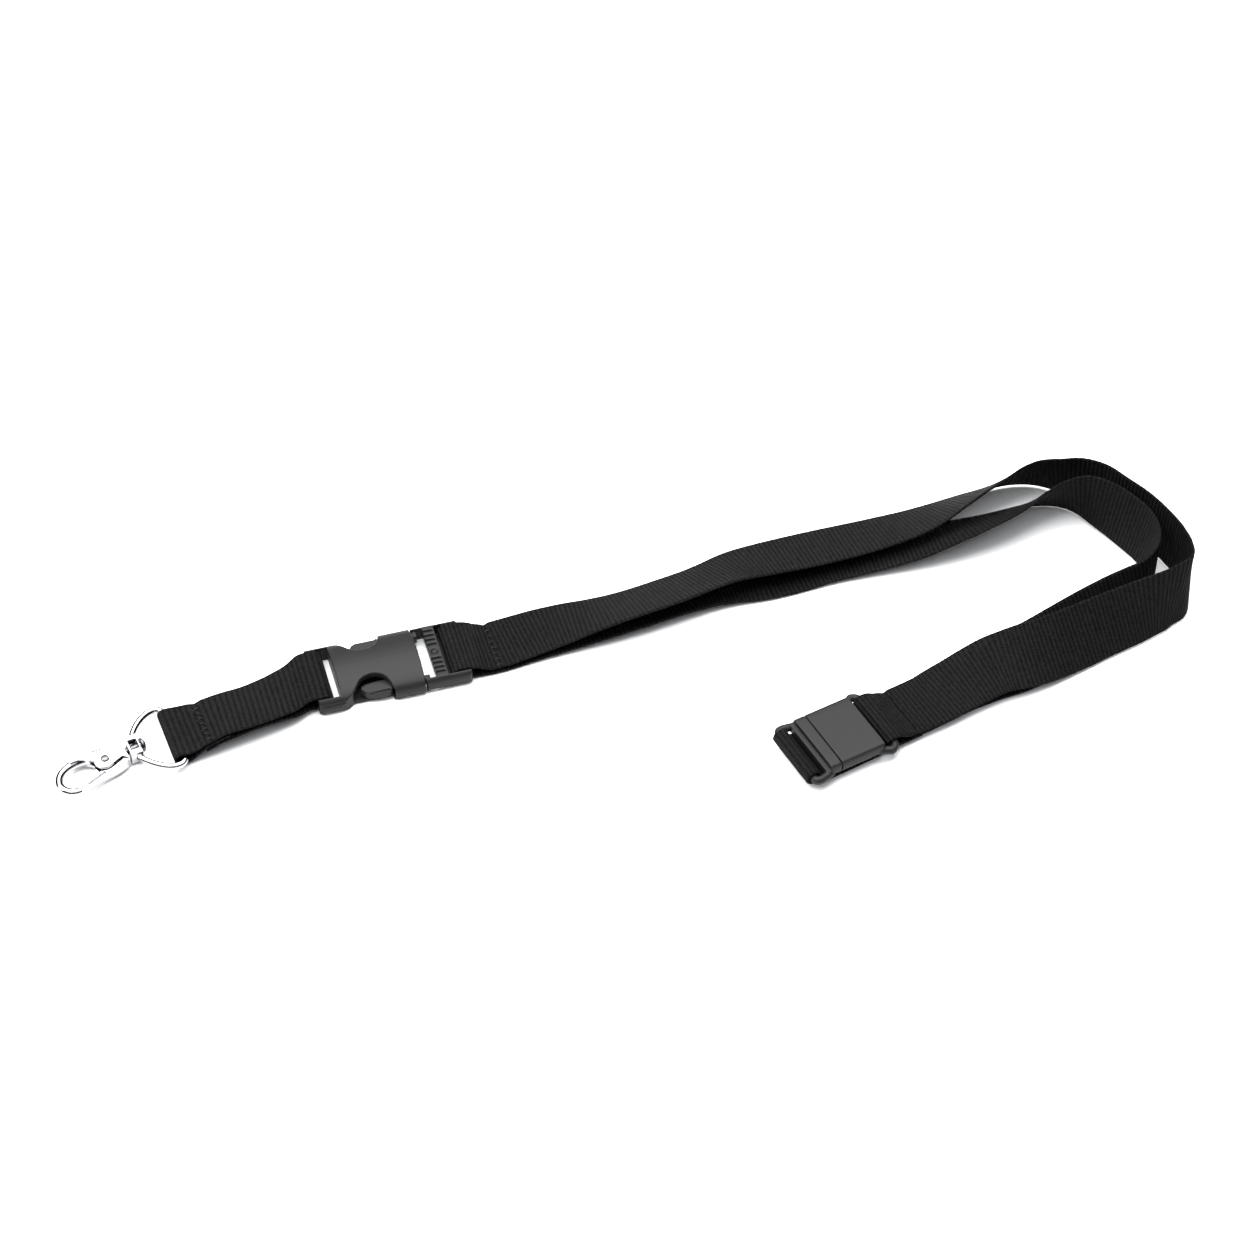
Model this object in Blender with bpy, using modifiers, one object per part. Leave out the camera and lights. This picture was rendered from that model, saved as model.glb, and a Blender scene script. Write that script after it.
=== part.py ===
"""Webbing lanyard: swivel hook, D-loop, short strap, side-release buckle, neck strap, breakaway buckle.

The lanyard lies on a flat surface at z = 0. The origin is on the underside of the side-release
buckle, +X runs along that buckle from the hook side to the neck strap, +Z is up.
"""
import math

import bmesh
import bpy
from mathutils import Matrix, Vector

MM = 0.001
GAP = 0.3 * MM                     # clearance between separate pieces

# webbing
WEB_WIDTH = 20 * MM
WEB_THICK = 1.0 * MM
LAYER = WEB_THICK + GAP            # height of one webbing layer in a stack
FLAT = 0.55 * MM                   # centre height of a layer lying on the surface
RIB_STEP = 4 * MM                  # spacing of the sections of a strap
THREAD_R = 0.2 * MM
ABOVE_WEB = WEB_THICK / 2 + GAP + THREAD_R     # from a layer's centre to a thread lying over it

# side-release buckle
SRB_HALF = 12.4 * MM
SRB_HEIGHT = 7.4 * MM
CAVITY_LOW, CAVITY_HIGH = 1.2 * MM, 4.75 * MM
SOCKET_LEFT = -24.3 * MM
SOCKET_MOUTH = 9.0 * MM
MOUTH_BULGE = 0.4 * MM
WINDOW_LEFT, WINDOW_RIGHT = -12.3 * MM, -0.4 * MM
CAVITY_HALF = 10.0 * MM
CAVITY_LEFT = -14.5 * MM
STRAP_SLOT = -17.0 * MM            # the strap slot lies left of this wall
EAR_INNER = 10.35 * MM
BAR_R = 1.4 * MM
BAR_Z = 3.5 * MM
SOCKET_BAR_X = -22.6 * MM
PLUG_BAR_X = 21.6 * MM
PLUG_LEFT = 9.8 * MM
PLUG_RIGHT = 24.0 * MM
PLUG_HALF = 11.9 * MM
PLUG_TOP = 5.4 * MM
PLUG_BOTTOM = 0.3 * MM
PRONG_ROOT = 6.7 * MM
PRONG_LOW, PRONG_HIGH = 1.5 * MM, 4.45 * MM
LADDER = (13.0 * MM, 16.7 * MM)    # ladder bar, from and to in x
GROOVE_PITCH = 1.9 * MM

# breakaway buckle, in its own frame: centre, turn, underside
BREAK_AT = Vector((122.4, -67.5, 0)) * MM
BREAK_TURN = math.radians(13.5)
BREAK_LOW, BREAK_HIGH = 2.65 * MM, 7.25 * MM
BREAK_HALF = 11.4 * MM
BREAK_EAR = 12.1 * MM
BREAK_BAR_R = 1.4 * MM
BREAK_BAR_Z = 4.0 * MM
BREAK_SEAM_X = -4.45 * MM          # joint line between plug and socket
BREAK_LEFT_BAR, BREAK_RIGHT_BAR = -13.7 * MM, 14.8 * MM

# D-loop, swivel and hook
RING_AT = Vector((-81.6, -11.5, 2.7)) * MM      # centre of the swivel boss
RING_TURN = math.radians(9)
RING_DEPTH = 12.6 * MM
RING_R = 1.1 * MM
HOOK_TURN = math.radians(15)
BOSS_SIZE = Vector((4.0, 8.0, 4.4)) * MM
SWIVEL_R = 1.1 * MM
SWIVEL_BORE = 1.6 * MM
SHANK_END, SHANK_HOLE_END = -4.3 * MM, -4.8 * MM
HOOK_THICK = 4.6 * MM
HOOK_PIVOT = Vector((-9.65, -0.7, 0)) * MM
PIN_R = 0.9 * MM
SLOT_THICK = 2.0 * MM
LEVER_THICK = 1.4 * MM
CLAW_R = 1.3 * MM

# strap routes: x, y of the centre line, roll of the band about its run (degrees, near edge up on the
# way out), lift of its lower edge above the surface, all in mm, and skew of the band at a bend
OUTER_ROUTE = [
    (26.5, 0.0, 0, 3.9, 0), (30.0, 0.0, 0, 1.9, 0), (33.5, 0.1, 1, 1.4, 0), (40.0, 0.6, 3, 1.4, 0),
    (49.0, 1.4, 6, 1.4, 0), (57.0, 1.5, 10, 1.5, 0), (65.0, 1.2, 17, 1.6, 0), (75.0, 1.5, 22, 1.7, 0),
    (90.0, 3.2, 24, 1.7, 0), (105.0, 6.4, 24, 1.6, 0), (115.0, 9.0, 19, 1.5, 0), (125.0, 10.0, 16, 1.4, 0),
    (141.0, 10.5, 14, 1.4, 0), (160.0, 10.9, 17, 1.2, 0), (176.0, 12.2, 24, 0.6, 0),
    (188.0, 14.7, 36, 0.0, 0), (197.0, 16.6, 45, 0.0, 0), (205.0, 18.0, 52, 0.0, 0),
    (212.5, 18.9, 60, 0.0, 0), (219.0, 17.8, 67, 0.0, 0), (225.5, 14.2, 76, 0.0, 0),
    (231.5, 10.4, 87, 0.0, 0), (236.8, 5.0, 92, 0.0, 0), (240.6, -2.5, 94, 0.0, 0),
    (244.6, -10.6, 95, 0.0, 0), (247.5, -19.6, 95, 0.0, 0), (249.2, -28.4, 94, 0.0, -6),
    (248.9, -36.3, 91, 0.0, -22), (245.8, -42.4, 82, 0.0, -32), (239.0, -45.6, 70, 0.0, -22),
    (232.0, -46.9, 63, 0.0, -8), (225.0, -48.1, 58, 0.0, 0), (215.0, -49.9, 53, 0.0, 0),
    (204.0, -52.2, 46, 0.4, 0), (194.0, -54.0, 37, 1.6, 0), (186.0, -54.6, 27, 3.0, 0),
    (178.0, -54.4, 15, 3.6, 0), (167.0, -56.4, 6, 2.9, 0), (158.0, -59.0, 2, 2.3, 0),
]
INNER_ROUTE = [
    (26.5, 0.0, 0, 0.2, 0), (33.5, 0.0, 0, 0.0, 0), (44.0, 1.2, 1, 0.0, 0), (56.0, 1.9, 3, 0.0, 0),
    (69.0, 2.2, 7, 0.0, 0), (80.0, 3.0, 9, 0.0, 0), (92.0, 4.7, 9, 0.0, 0), (104.0, 6.5, 6, 0.0, 0),
    (113.0, 6.9, 3, 0.0, 0), (122.0, 6.4, 1, 0.0, 0), (132.0, 6.8, 0, 0.0, 0), (143.0, 7.5, 2, 0.0, 0),
    (153.0, 7.3, 4, 0.0, 0), (165.0, 6.3, 9, 0.0, 0), (176.0, 5.4, 16, 0.0, 0), (187.5, 4.7, 28, 0.0, 0),
    (197.0, 5.0, 36, 0.0, 0), (204.0, 5.7, 42, 0.0, 0), (210.0, 6.6, 48, 0.0, 0), (215.5, 7.2, 56, 0.0, 0),
    (220.5, 6.8, 63, 0.0, 0), (225.5, 5.0, 74, 0.0, 0), (230.3, 1.9, 90, 0.0, 0), (234.8, -4.0, 100, 0.0, 0),
    (238.4, -11.0, 104, 0.0, 0), (240.8, -18.0, 103, 0.0, 0), (241.2, -25.2, 98, 0.0, 0),
    (239.2, -32.2, 90, 0.0, 0), (234.2, -38.0, 80, 0.0, 0), (228.0, -40.8, 69, 0.0, 0),
    (220.5, -43.1, 62, 0.0, 0), (210.5, -46.5, 55, 0.0, 0), (199.0, -50.6, 46, 0.0, 0),
    (192.5, -52.5, 38, 0.0, 0), (185.3, -53.4, 27, 0.0, 0), (176.6, -53.7, 17, 0.0, 0),
    (166.0, -55.2, 8, 0.0, 0), (157.5, -57.5, 3, 0.0, 0),
]
SHORT_ROUTE = [(-66, -10.05, 0), (-62, -9.6, 6), (-56, -8.7, 10), (-46, -7.1, 10), (-38, -5.3, 8), (-31, -3.2, 4),
               (-27, -0.3, 1), (-25, 0.0, 0)]     # x, y and roll of the short strap's centre line
RING_FOLD_TURN = math.radians(5)
UNDER_OFFSET = 1.3                 # mm the inner strand lies aside of the buckle it passes under

BLACK = (0.02, 0.02, 0.022)
SEAM_BLACK = (0.012, 0.012, 0.012)
PLASTIC = (0.07, 0.07, 0.075)
CHROME = (0.8, 0.8, 0.82)


# ---------------------------------------------------------------- scene and small helpers
def start_scene():
    for old in list(bpy.data.objects):
        bpy.data.objects.remove(old)
    for name in ("lanyard", "cutters"):
        bpy.context.scene.collection.children.link(bpy.data.collections.new(name))


def material(name, colour, roughness, metallic=0.0):
    mat = bpy.data.materials.get(name) or bpy.data.materials.new(name)
    mat.use_nodes = True
    shader = mat.node_tree.nodes["Principled BSDF"]
    shader.inputs["Base Color"].default_value = (*colour, 1)
    shader.inputs["Roughness"].default_value = roughness
    shader.inputs["Metallic"].default_value = metallic
    return mat


def put(obj, mat=None, collection="lanyard"):
    for owner in list(obj.users_collection):
        owner.objects.unlink(obj)
    bpy.data.collections[collection].objects.link(obj)
    if mat:
        obj.data.materials.clear()
        obj.data.materials.append(mat)
    if collection == "cutters":
        obj.hide_render = True
        obj.display_type = "WIRE"
    return obj


def new_mesh(name, bm):
    mesh = bpy.data.meshes.new(name)
    bm.to_mesh(mesh)
    bm.free()
    obj = bpy.data.objects.new(name, mesh)
    bpy.context.scene.collection.objects.link(obj)
    return obj


def box(name, low, high):
    low, high = Vector(low), Vector(high)
    size = high - low
    bm = bmesh.new()
    bmesh.ops.create_cube(bm, size=1, matrix=Matrix.Translation((low + high) / 2)
                          @ Matrix.Diagonal((*size, 1)))
    return new_mesh(name, bm)


def rod(name, radius, start, end, sides=20):
    start, end = Vector(start), Vector(end)
    run = end - start
    turn = run.to_track_quat("Z", "Y").to_matrix().to_4x4()
    bm = bmesh.new()
    bmesh.ops.create_cone(bm, cap_ends=True, segments=sides, radius1=radius, radius2=radius,
                          depth=run.length, matrix=Matrix.Translation((start + end) / 2) @ turn)
    return new_mesh(name, bm)


def plate(name, outline, low, high):
    """A flat outline, given as x, y points, made solid from low to high."""
    curve = bpy.data.curves.new(name, "CURVE")
    curve.dimensions = "2D"
    curve.fill_mode = "BOTH"
    curve.extrude = (high - low) / 2
    line = curve.splines.new("POLY")
    line.points.add(len(outline) - 1)
    for point, (x, y) in zip(line.points, outline):
        point.co = (x, y, 0, 1)
    line.use_cyclic_u = True
    obj = bpy.data.objects.new(name, curve)
    obj.location.z = (low + high) / 2
    bpy.context.scene.collection.objects.link(obj)
    return meshed(obj)


def along_x(name, section, start, end):
    """A closed y, z section made solid from start to end along x."""
    bm = bmesh.new()
    rings = [[bm.verts.new((x, y, z)) for y, z in section] for x in (start, end)]
    bm.faces.new(rings[0])
    bm.faces.new(list(reversed(rings[1])))
    count = len(section)
    for k in range(count):
        bm.faces.new((rings[0][k], rings[1][k], rings[1][(k + 1) % count], rings[0][(k + 1) % count]))
    bmesh.ops.recalc_face_normals(bm, faces=bm.faces)
    return new_mesh(name, bm)


def wire(name, points, radius, closed=False, resolution=2, taper=None):
    curve = bpy.data.curves.new(name, "CURVE")
    curve.dimensions = "3D"
    curve.bevel_depth = radius
    curve.bevel_resolution = resolution
    curve.use_fill_caps = True
    line = curve.splines.new("POLY")
    line.points.add(len(points) - 1)
    for k, (point, place) in enumerate(zip(line.points, points)):
        point.co = (*place, 1)
        point.radius = taper[k] if taper else 1.0
    line.use_cyclic_u = closed
    obj = bpy.data.objects.new(name, curve)
    bpy.context.scene.collection.objects.link(obj)
    return meshed(obj)


def meshed(obj):
    """Turn a curve object into a welded mesh object of the same name and place."""
    bpy.context.view_layer.update()
    graph = bpy.context.evaluated_depsgraph_get()
    mesh = bpy.data.meshes.new_from_object(obj.evaluated_get(graph))
    bm = bmesh.new()
    bm.from_mesh(mesh)
    bmesh.ops.remove_doubles(bm, verts=bm.verts, dist=0.000001)
    bmesh.ops.transform(bm, matrix=obj.matrix_world, verts=bm.verts)
    bmesh.ops.recalc_face_normals(bm, faces=bm.faces)
    name = obj.name
    bpy.data.objects.remove(obj)
    return new_mesh(name, bm)


def boolean(obj, other, operation):
    put(other, collection="cutters")
    step = obj.modifiers.new(operation.lower(), "BOOLEAN")
    step.operation = operation
    step.solver = "EXACT"
    step.object = other
    return obj


def round_edges(obj, width, segments=2, angle=35):
    step = obj.modifiers.new("round", "BEVEL")
    step.width = width
    step.segments = segments
    step.limit_method = "ANGLE"
    step.angle_limit = math.radians(angle)
    return obj


def turned(points, turn, at):
    """Points of a sub-assembly's own frame, turned about Z and moved to its place."""
    return [Matrix.Rotation(turn, 3, "Z") @ Vector(p) + at for p in points]


def place(obj, turn, at, parent=None):
    obj.rotation_euler.z = turn
    obj.location = at
    if parent:
        obj.parent = parent
    return obj


def mirrored(outline):
    """A half outline with y > 0, closed with its mirror image."""
    return outline + [(x, -y) for x, y in reversed(outline)]


def arc(centre, radius, start, end, count):
    """Points x, y of an arc from start to end, in degrees."""
    turns = [math.radians(start + (end - start) * k / (count - 1)) for k in range(count)]
    return [(centre[0] + radius * math.cos(a), centre[1] + radius * math.sin(a)) for a in turns]


# ---------------------------------------------------------------- webbing
def smooth(points, step):
    """A smooth curve through points (tuples of any size), sampled about every step along x, y, z."""
    points = [Vector(p) for p in points]
    out = []
    for k in range(len(points) - 1):
        before = points[max(k - 1, 0)]
        here, there = points[k], points[k + 1]
        after = points[min(k + 2, len(points) - 1)]
        run = (Vector(there[:3]) - Vector(here[:3])).length
        count = max(1, round(run / step))
        for j in range(count):
            t = j / count
            out.append(0.5 * (2 * here + (there - before) * t
                              + (2 * before - 5 * here + 4 * there - after) * t * t
                              + (3 * here - before - 3 * there + after) * t ** 3))
    out.append(points[-1])
    return out


def band(name, middle, across, mat):
    """A webbing band: middle is its centre line, across the half-width vector at each point."""
    bm = bmesh.new()
    edges = []
    for place_, half in zip(middle, across):
        edges.append((bm.verts.new(place_ - half), bm.verts.new(place_ + half)))
    for (a, b), (c, d) in zip(edges, edges[1:]):
        bm.faces.new((a, b, d, c))
    bmesh.ops.recalc_face_normals(bm, faces=bm.faces)
    obj = put(new_mesh(name, bm), mat)
    shell = obj.modifiers.new("thickness", "SOLIDIFY")
    shell.thickness = WEB_THICK
    shell.offset = 0
    shell.use_even_offset = True
    return obj


def lying(route):
    """Route rows as x, y, z, roll, skew: the lower edge of the rolled band lies at its lift."""
    return [(x, y, lift + 10 * math.sin(math.radians(roll)) + FLAT / MM, roll, skew)
            for x, y, roll, lift, skew in route]


def across_of(rows):
    """Half-width vectors for rows x, y, z, roll, skew (mm and degrees): right of the run, tipped up."""
    vectors = []
    for k, row in enumerate(rows):
        ahead, behind = rows[min(k + 1, len(rows) - 1)], rows[max(k - 1, 0)]
        run = Vector(ahead[:3]) - Vector(behind[:3])
        flat_run = Vector((run.x, run.y, 0)).normalized()
        run.normalize()
        side = Vector((flat_run.y, -flat_run.x, 0))
        roll = math.radians(row[3])
        half = side * math.cos(roll) + Vector((0, 0, 1)) * math.sin(roll)
        half = (half - run * half.dot(run)).normalized()
        half += run * math.tan(math.radians(row[4]))
        vectors.append(half * WEB_WIDTH / 2)
    return vectors


def wrap(centre_x, centre_z, radius, start, end, count):
    """Section of a fold round a bar: x, z points in mm, angles in degrees from +x towards +z."""
    return [(centre_x + radius * math.cos(math.radians(a)), centre_z + radius * math.sin(math.radians(a)))
            for a in (start + (end - start) * k / (count - 1) for k in range(count))]


def neck_outer(mat):
    """From under the plug's bar, round it, over the top and out, round the loop, to the right loop."""
    bar_x, bar_z = PLUG_BAR_X / MM, BAR_Z / MM
    radius = (BAR_R + GAP + WEB_THICK / 2) / MM
    fold = wrap(bar_x, bar_z, radius, 262, 90, 12)
    start = [Vector((x, 0, z)) * MM for x, z in fold]
    rows = smooth(lying(OUTER_ROUTE), RIB_STEP / MM)
    middle = [Vector(r[:3]) * MM for r in rows]
    across = across_of(rows)
    tail_x, tail_z = BREAK_RIGHT_BAR / MM, BREAK_BAR_Z / MM
    tail_r = (BREAK_BAR_R + GAP + WEB_THICK / 2) / MM
    high, low = (FLAT + 2 * LAYER) / MM, (FLAT + LAYER) / MM
    section = smooth([(29, 0, high), (25, 0, high), (20, 0, high + 0.9), (17.2, 0, tail_z + 1.9)], 2)[:-1]
    section += [Vector((x, 0, z)) for x, z in wrap(tail_x, tail_z, tail_r, 70, 270, 13)]
    section += [Vector((17.5, 0, low)), Vector((21, 0, low)), Vector((25, 0, low))]
    end = turned([p * MM for p in section], BREAK_TURN, BREAK_AT)
    side = Vector((math.sin(BREAK_TURN), -math.cos(BREAK_TURN), 0)) * WEB_WIDTH / 2
    first = Vector((0, -1, 0)) * WEB_WIDTH / 2
    return band("neck_strap_outer", start + middle + end,
                [first] * len(start) + across + [-side] * len(end), mat)


def neck_inner(mat):
    """From the fold under the plug's bar, out and round inside the outer strand, to the breakaway."""
    rows = smooth(lying(INNER_ROUTE), RIB_STEP / MM)
    first = Vector((PLUG_BAR_X, 0, BAR_Z - BAR_R - GAP - WEB_THICK / 2))
    middle = [first] + [Vector(r[:3]) * MM for r in rows]
    across = across_of(rows)
    end = turned([Vector((x, UNDER_OFFSET, FLAT / MM)) * MM for x in (30, 26.6)], BREAK_TURN, BREAK_AT)
    side = Vector((math.sin(BREAK_TURN), -math.cos(BREAK_TURN), 0)) * WEB_WIDTH / 2
    return band("neck_strap_inner", middle + end,
                [Vector((0, -1, 0)) * WEB_WIDTH / 2] + across + [-side] * len(end), mat)


def neck_plug_end(mat):
    """The inner strand's end: under the breakaway buckle, round the plug's bar and back on itself."""
    bar_x, bar_z = BREAK_LEFT_BAR / MM, BREAK_BAR_Z / MM
    radius = (BREAK_BAR_R + GAP + WEB_THICK / 2) / MM
    low, high = FLAT / MM, (FLAT + LAYER) / MM
    section = [(26.0, low), (18.0, low), (8.0, low), (-4.0, low), (-10.0, low + 0.1), (-12.6, low + 0.8)]
    section += wrap(bar_x, bar_z, radius, 270, 0, 15)
    section += [(-11.5, 3.2), (-11.0, high + 0.45), (-10.0, high + 0.05), (-6.0, high), (0.0, high)]
    middle = turned([Vector((x, UNDER_OFFSET * min(1.0, max(0.0, (x - 4) / 20)), z)) * MM for x, z in section],
                    BREAK_TURN, BREAK_AT)
    side = Vector((math.sin(BREAK_TURN), -math.cos(BREAK_TURN), 0)) * WEB_WIDTH / 2
    return band("neck_strap_plug_end", middle, [side] * len(middle), mat)


def short_line(x):
    """The short strap's centre line at x: its y and its roll, near edge up."""
    for (x0, y0, r0), (x1, y1, r1) in zip(SHORT_ROUTE, SHORT_ROUTE[1:]):
        if x <= x1:
            t = max(0.0, (x - x0) / (x1 - x0))
            return y0 + (y1 - y0) * t, math.radians(r0 + (r1 - r0) * t)
    return 0.0, 0.0


def short_spot(x, z):
    """A point of the short strap's centre line in metres, and the half-width vector there."""
    y, roll = short_line(x)
    turn = RING_FOLD_TURN * min(1.0, max(0.0, (-50 - x) / 12))
    side = Vector((math.sin(turn) * math.cos(roll), -math.cos(turn) * math.cos(roll), math.sin(roll)))
    return Vector((x, y, z + 10 * math.sin(roll))) * MM, side * WEB_WIDTH / 2


def short_strap(mat):
    """One length, its ends sewn under its top layer: round the socket's bar and round the D-loop's."""
    bar_x, bar_z = SOCKET_BAR_X / MM, BAR_Z / MM
    radius = (BAR_R + GAP + WEB_THICK / 2) / MM
    ring_x, ring_z = RING_AT.x / MM + RING_DEPTH / MM * math.cos(RING_TURN), RING_AT.z / MM
    ring_r = (RING_R + GAP + WEB_THICK / 2) / MM + 0.15
    section = smooth([(-61.5, 0, 1.15), (-52, 0, 1.7), (-44, 0, 2.3), (-36, 0, 2.2), (-29, 0, 1.6), (-25, 0, 1.35)], 4)
    section += [Vector((x, 0, z)) for x, z in wrap(bar_x, bar_z, radius, -100, 100, 13)]
    section += smooth([(-26.5, 0, 5.5), (-33, 0, 4.7), (-40, 0, 4.0), (-46, 0, 3.9), (-52, 0, 4.4), (-57, 0, 4.25),
                       (-61, 0, 4.05), (-66, 0, ring_z + 1.8)], 4)
    section += [Vector((x, 0, z)) for x, z in wrap(ring_x - 0.2, ring_z, ring_r, 95, 265, 11)]
    section += smooth([(-67.2, 0, 0.85), (-64.6, 0, 1.8), (-62.4, 0, 2.45), (-53, 0, 3.0)], 3)
    spots = [short_spot(p.x, p.z) for p in section]
    return band("short_strap", [middle for middle, _ in spots], [side for _, side in spots], mat)


def seam(name, centre, turn, mat, roll=0.0, count=14, half=8.2 * MM, swing=0.9 * MM):
    """A zigzag thread across a strap, a gap above the webbing."""
    spot = Matrix.Translation(centre) @ Matrix.Rotation(turn, 4, "Z") @ Matrix.Rotation(-roll, 4, "X")
    points = [spot @ Vector((swing if k % 2 else -swing, half * (2 * k / count - 1), 0)) for k in range(count + 1)]
    return put(wire(name, points, THREAD_R, resolution=1), mat)


# ---------------------------------------------------------------- side-release buckle
def domed(name, top, start, end):
    """The lens-shaped section of a moulded buckle, made solid along x."""
    half = [(11.3, 0.0), (12.1, 0.8), (SRB_HALF / MM, 2.0), (12.2, 3.4), (11.6, 4.6), (10.6, 5.45), (8.5, 6.3),
            (5.5, 6.95), (2.5, top / MM - 0.1), (0.0, top / MM)]
    section = half + [(-y, z) for y, z in reversed(half[:-1])]
    return along_x(name, [(y * MM, z * MM) for y, z in section], start, end)


def socket_outline():
    """Plan of the socket: rounded left end, scalloped side windows, collar and mouth."""
    left = arc((SOCKET_LEFT + 2.2 * MM, SRB_HALF - 2.2 * MM), 2.2 * MM, 180, 90, 5)
    scallop = [(-17.5, 12.4), (-15.2, 11.6), (-13.4, 10.3), (-11.9, 8.5), (-10.4, 6.6), (-8.4, 5.5), (-6.2, 5.2),
               (-4.0, 5.8), (-2.3, 7.3), (-1.2, 9.6), (-0.8, 11.6), (0.2, 12.4)]
    mouth = [(SOCKET_MOUTH, SRB_HALF), (SOCKET_MOUTH + MOUTH_BULGE * 0.8, SRB_HALF / 2),
             (SOCKET_MOUTH + MOUTH_BULGE, 0)]
    half = left + [(x * MM, y * MM) for x, y in scallop] + mouth
    return half + [(x, -y) for x, y in reversed(half[:-1])]


def buckle_socket(mat):
    body = put(plate("buckle_socket", socket_outline(), -MM, SRB_HEIGHT + MM), mat)
    far = 40 * MM
    boolean(body, domed("socket_dome", SRB_HEIGHT, -far, far), "INTERSECT")
    round_edges(body, 0.5 * MM, 2, angle=50)
    boolean(body, box("strap_slot", (SOCKET_LEFT - far, -EAR_INNER, -far), (STRAP_SLOT, EAR_INNER, far)),
            "DIFFERENCE")
    boolean(body, box("cavity", (CAVITY_LEFT, -CAVITY_HALF, CAVITY_LOW), (far, CAVITY_HALF, CAVITY_HIGH)),
            "DIFFERENCE")
    boolean(body, box("windows", (WINDOW_LEFT, -far, CAVITY_LOW), (WINDOW_RIGHT, far, CAVITY_HIGH)), "DIFFERENCE")
    end = EAR_INNER + 0.6 * MM
    boolean(body, rod("socket_bar", BAR_R, (SOCKET_BAR_X, -end, BAR_Z), (SOCKET_BAR_X, end, BAR_Z)), "UNION")
    return body


def buckle_plug(mat):
    """Frame of the plug: arms, ladder bar, strap bar, rails into the socket, and the guide tongue."""
    body = put(box("buckle_plug_frame", (PLUG_LEFT, -PLUG_HALF, PLUG_BOTTOM), (PLUG_RIGHT, PLUG_HALF, PLUG_TOP)),
               mat)
    round_edges(body, 1.2 * MM, 3)
    far = 40 * MM
    rail = CAVITY_HALF - GAP
    boolean(body, box("plug_core", (PLUG_LEFT - MM, -EAR_INNER, -far), (PLUG_RIGHT + far, EAR_INNER, far)),
            "DIFFERENCE")
    ladder = box("ladder_bar", (LADDER[0], -EAR_INNER - 0.6 * MM, 2.4 * MM),
                 (LADDER[1], EAR_INNER + 0.6 * MM, PLUG_TOP - 0.1 * MM))
    boolean(body, round_edges(ladder, 0.5 * MM, 2), "UNION")
    for side in (-1, 1):
        low, high = sorted((side * (rail - 1.5 * MM), side * rail))
        boolean(body, box(f"rail{side}", (PRONG_ROOT + GAP, low, PRONG_LOW), (PLUG_LEFT + MM, high, PRONG_HIGH)),
                "UNION")
        low, high = sorted((side * (rail - 1.5 * MM), side * (EAR_INNER + 0.5 * MM)))
        boolean(body, box(f"gusset{side}", (PLUG_LEFT, low, PRONG_LOW), (PLUG_LEFT + 1.3 * MM, high, PRONG_HIGH)),
                "UNION")
        for k in range(4):
            y = side * (3.0 * MM + k * GROOVE_PITCH)
            cut = box(f"groove{side}{k}", (LADDER[0] - MM, y - 0.4 * MM, PLUG_TOP - 1.2 * MM),
                      (LADDER[1] - 0.7 * MM, y + 0.4 * MM, far))
            boolean(body, cut, "DIFFERENCE")
    boolean(body, box("plug_base", (PRONG_ROOT + GAP, -rail + 0.2 * MM, PRONG_LOW + 0.1 * MM),
                      (PRONG_ROOT + 2.0 * MM, rail - 0.2 * MM, PRONG_HIGH - 0.1 * MM)), "UNION")
    boolean(body, box("guide_tongue", (CAVITY_LEFT + 2.5 * MM, -2.2 * MM, PRONG_LOW + 0.3 * MM),
                      (PRONG_ROOT + MM, 2.2 * MM, PRONG_HIGH - 0.3 * MM)), "UNION")
    end = EAR_INNER + 0.6 * MM
    boolean(body, rod("plug_bar", BAR_R, (PLUG_BAR_X, -end, BAR_Z), (PLUG_BAR_X, end, BAR_Z)), "UNION")
    return body


def buckle_prong(name, side, mat):
    """A sprung side prong: beam from the plug's base, and the barbed head in the socket's window."""
    outline = [(PRONG_ROOT / MM, 6.6), (PRONG_ROOT / MM, 8.5), (-0.9, 8.7), (-1.1, 10.6), (-2.0, 11.1),
               (-4.6, 11.2), (-7.4, 10.9), (-9.4, 10.0), (-10.5, 8.7), (-10.4, 7.6), (-9.0, 6.9), (-5.0, 6.5)]
    points = [(x * MM, side * y * MM) for x, y in outline]
    prong = plate(name, points, PRONG_LOW, PRONG_HIGH)
    root = bpy.data.objects.new(name + "_hinge", None)
    root.location = (PRONG_ROOT, side * 7.5 * MM, 0)
    bpy.data.collections["lanyard"].objects.link(root)
    bpy.context.view_layer.update()
    put(prong, mat)
    prong.parent = root
    prong.matrix_parent_inverse = root.matrix_world.inverted()
    return round_edges(prong, 0.35 * MM, 1)


# ---------------------------------------------------------------- breakaway buckle
def break_half(left, right, ear_from, ear_to):
    """Half plan of a breakaway half: body from left to right, widening to the ears of its loop."""
    sign = 1 if ear_to > ear_from else -1
    near = left if sign > 0 else right
    return [(near, BREAK_HALF), (ear_from, BREAK_HALF), (ear_from + sign * 2.2 * MM, BREAK_EAR),
            (ear_to - sign * 1.6 * MM, BREAK_EAR), (ear_to, BREAK_EAR - 1.5 * MM)]


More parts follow.
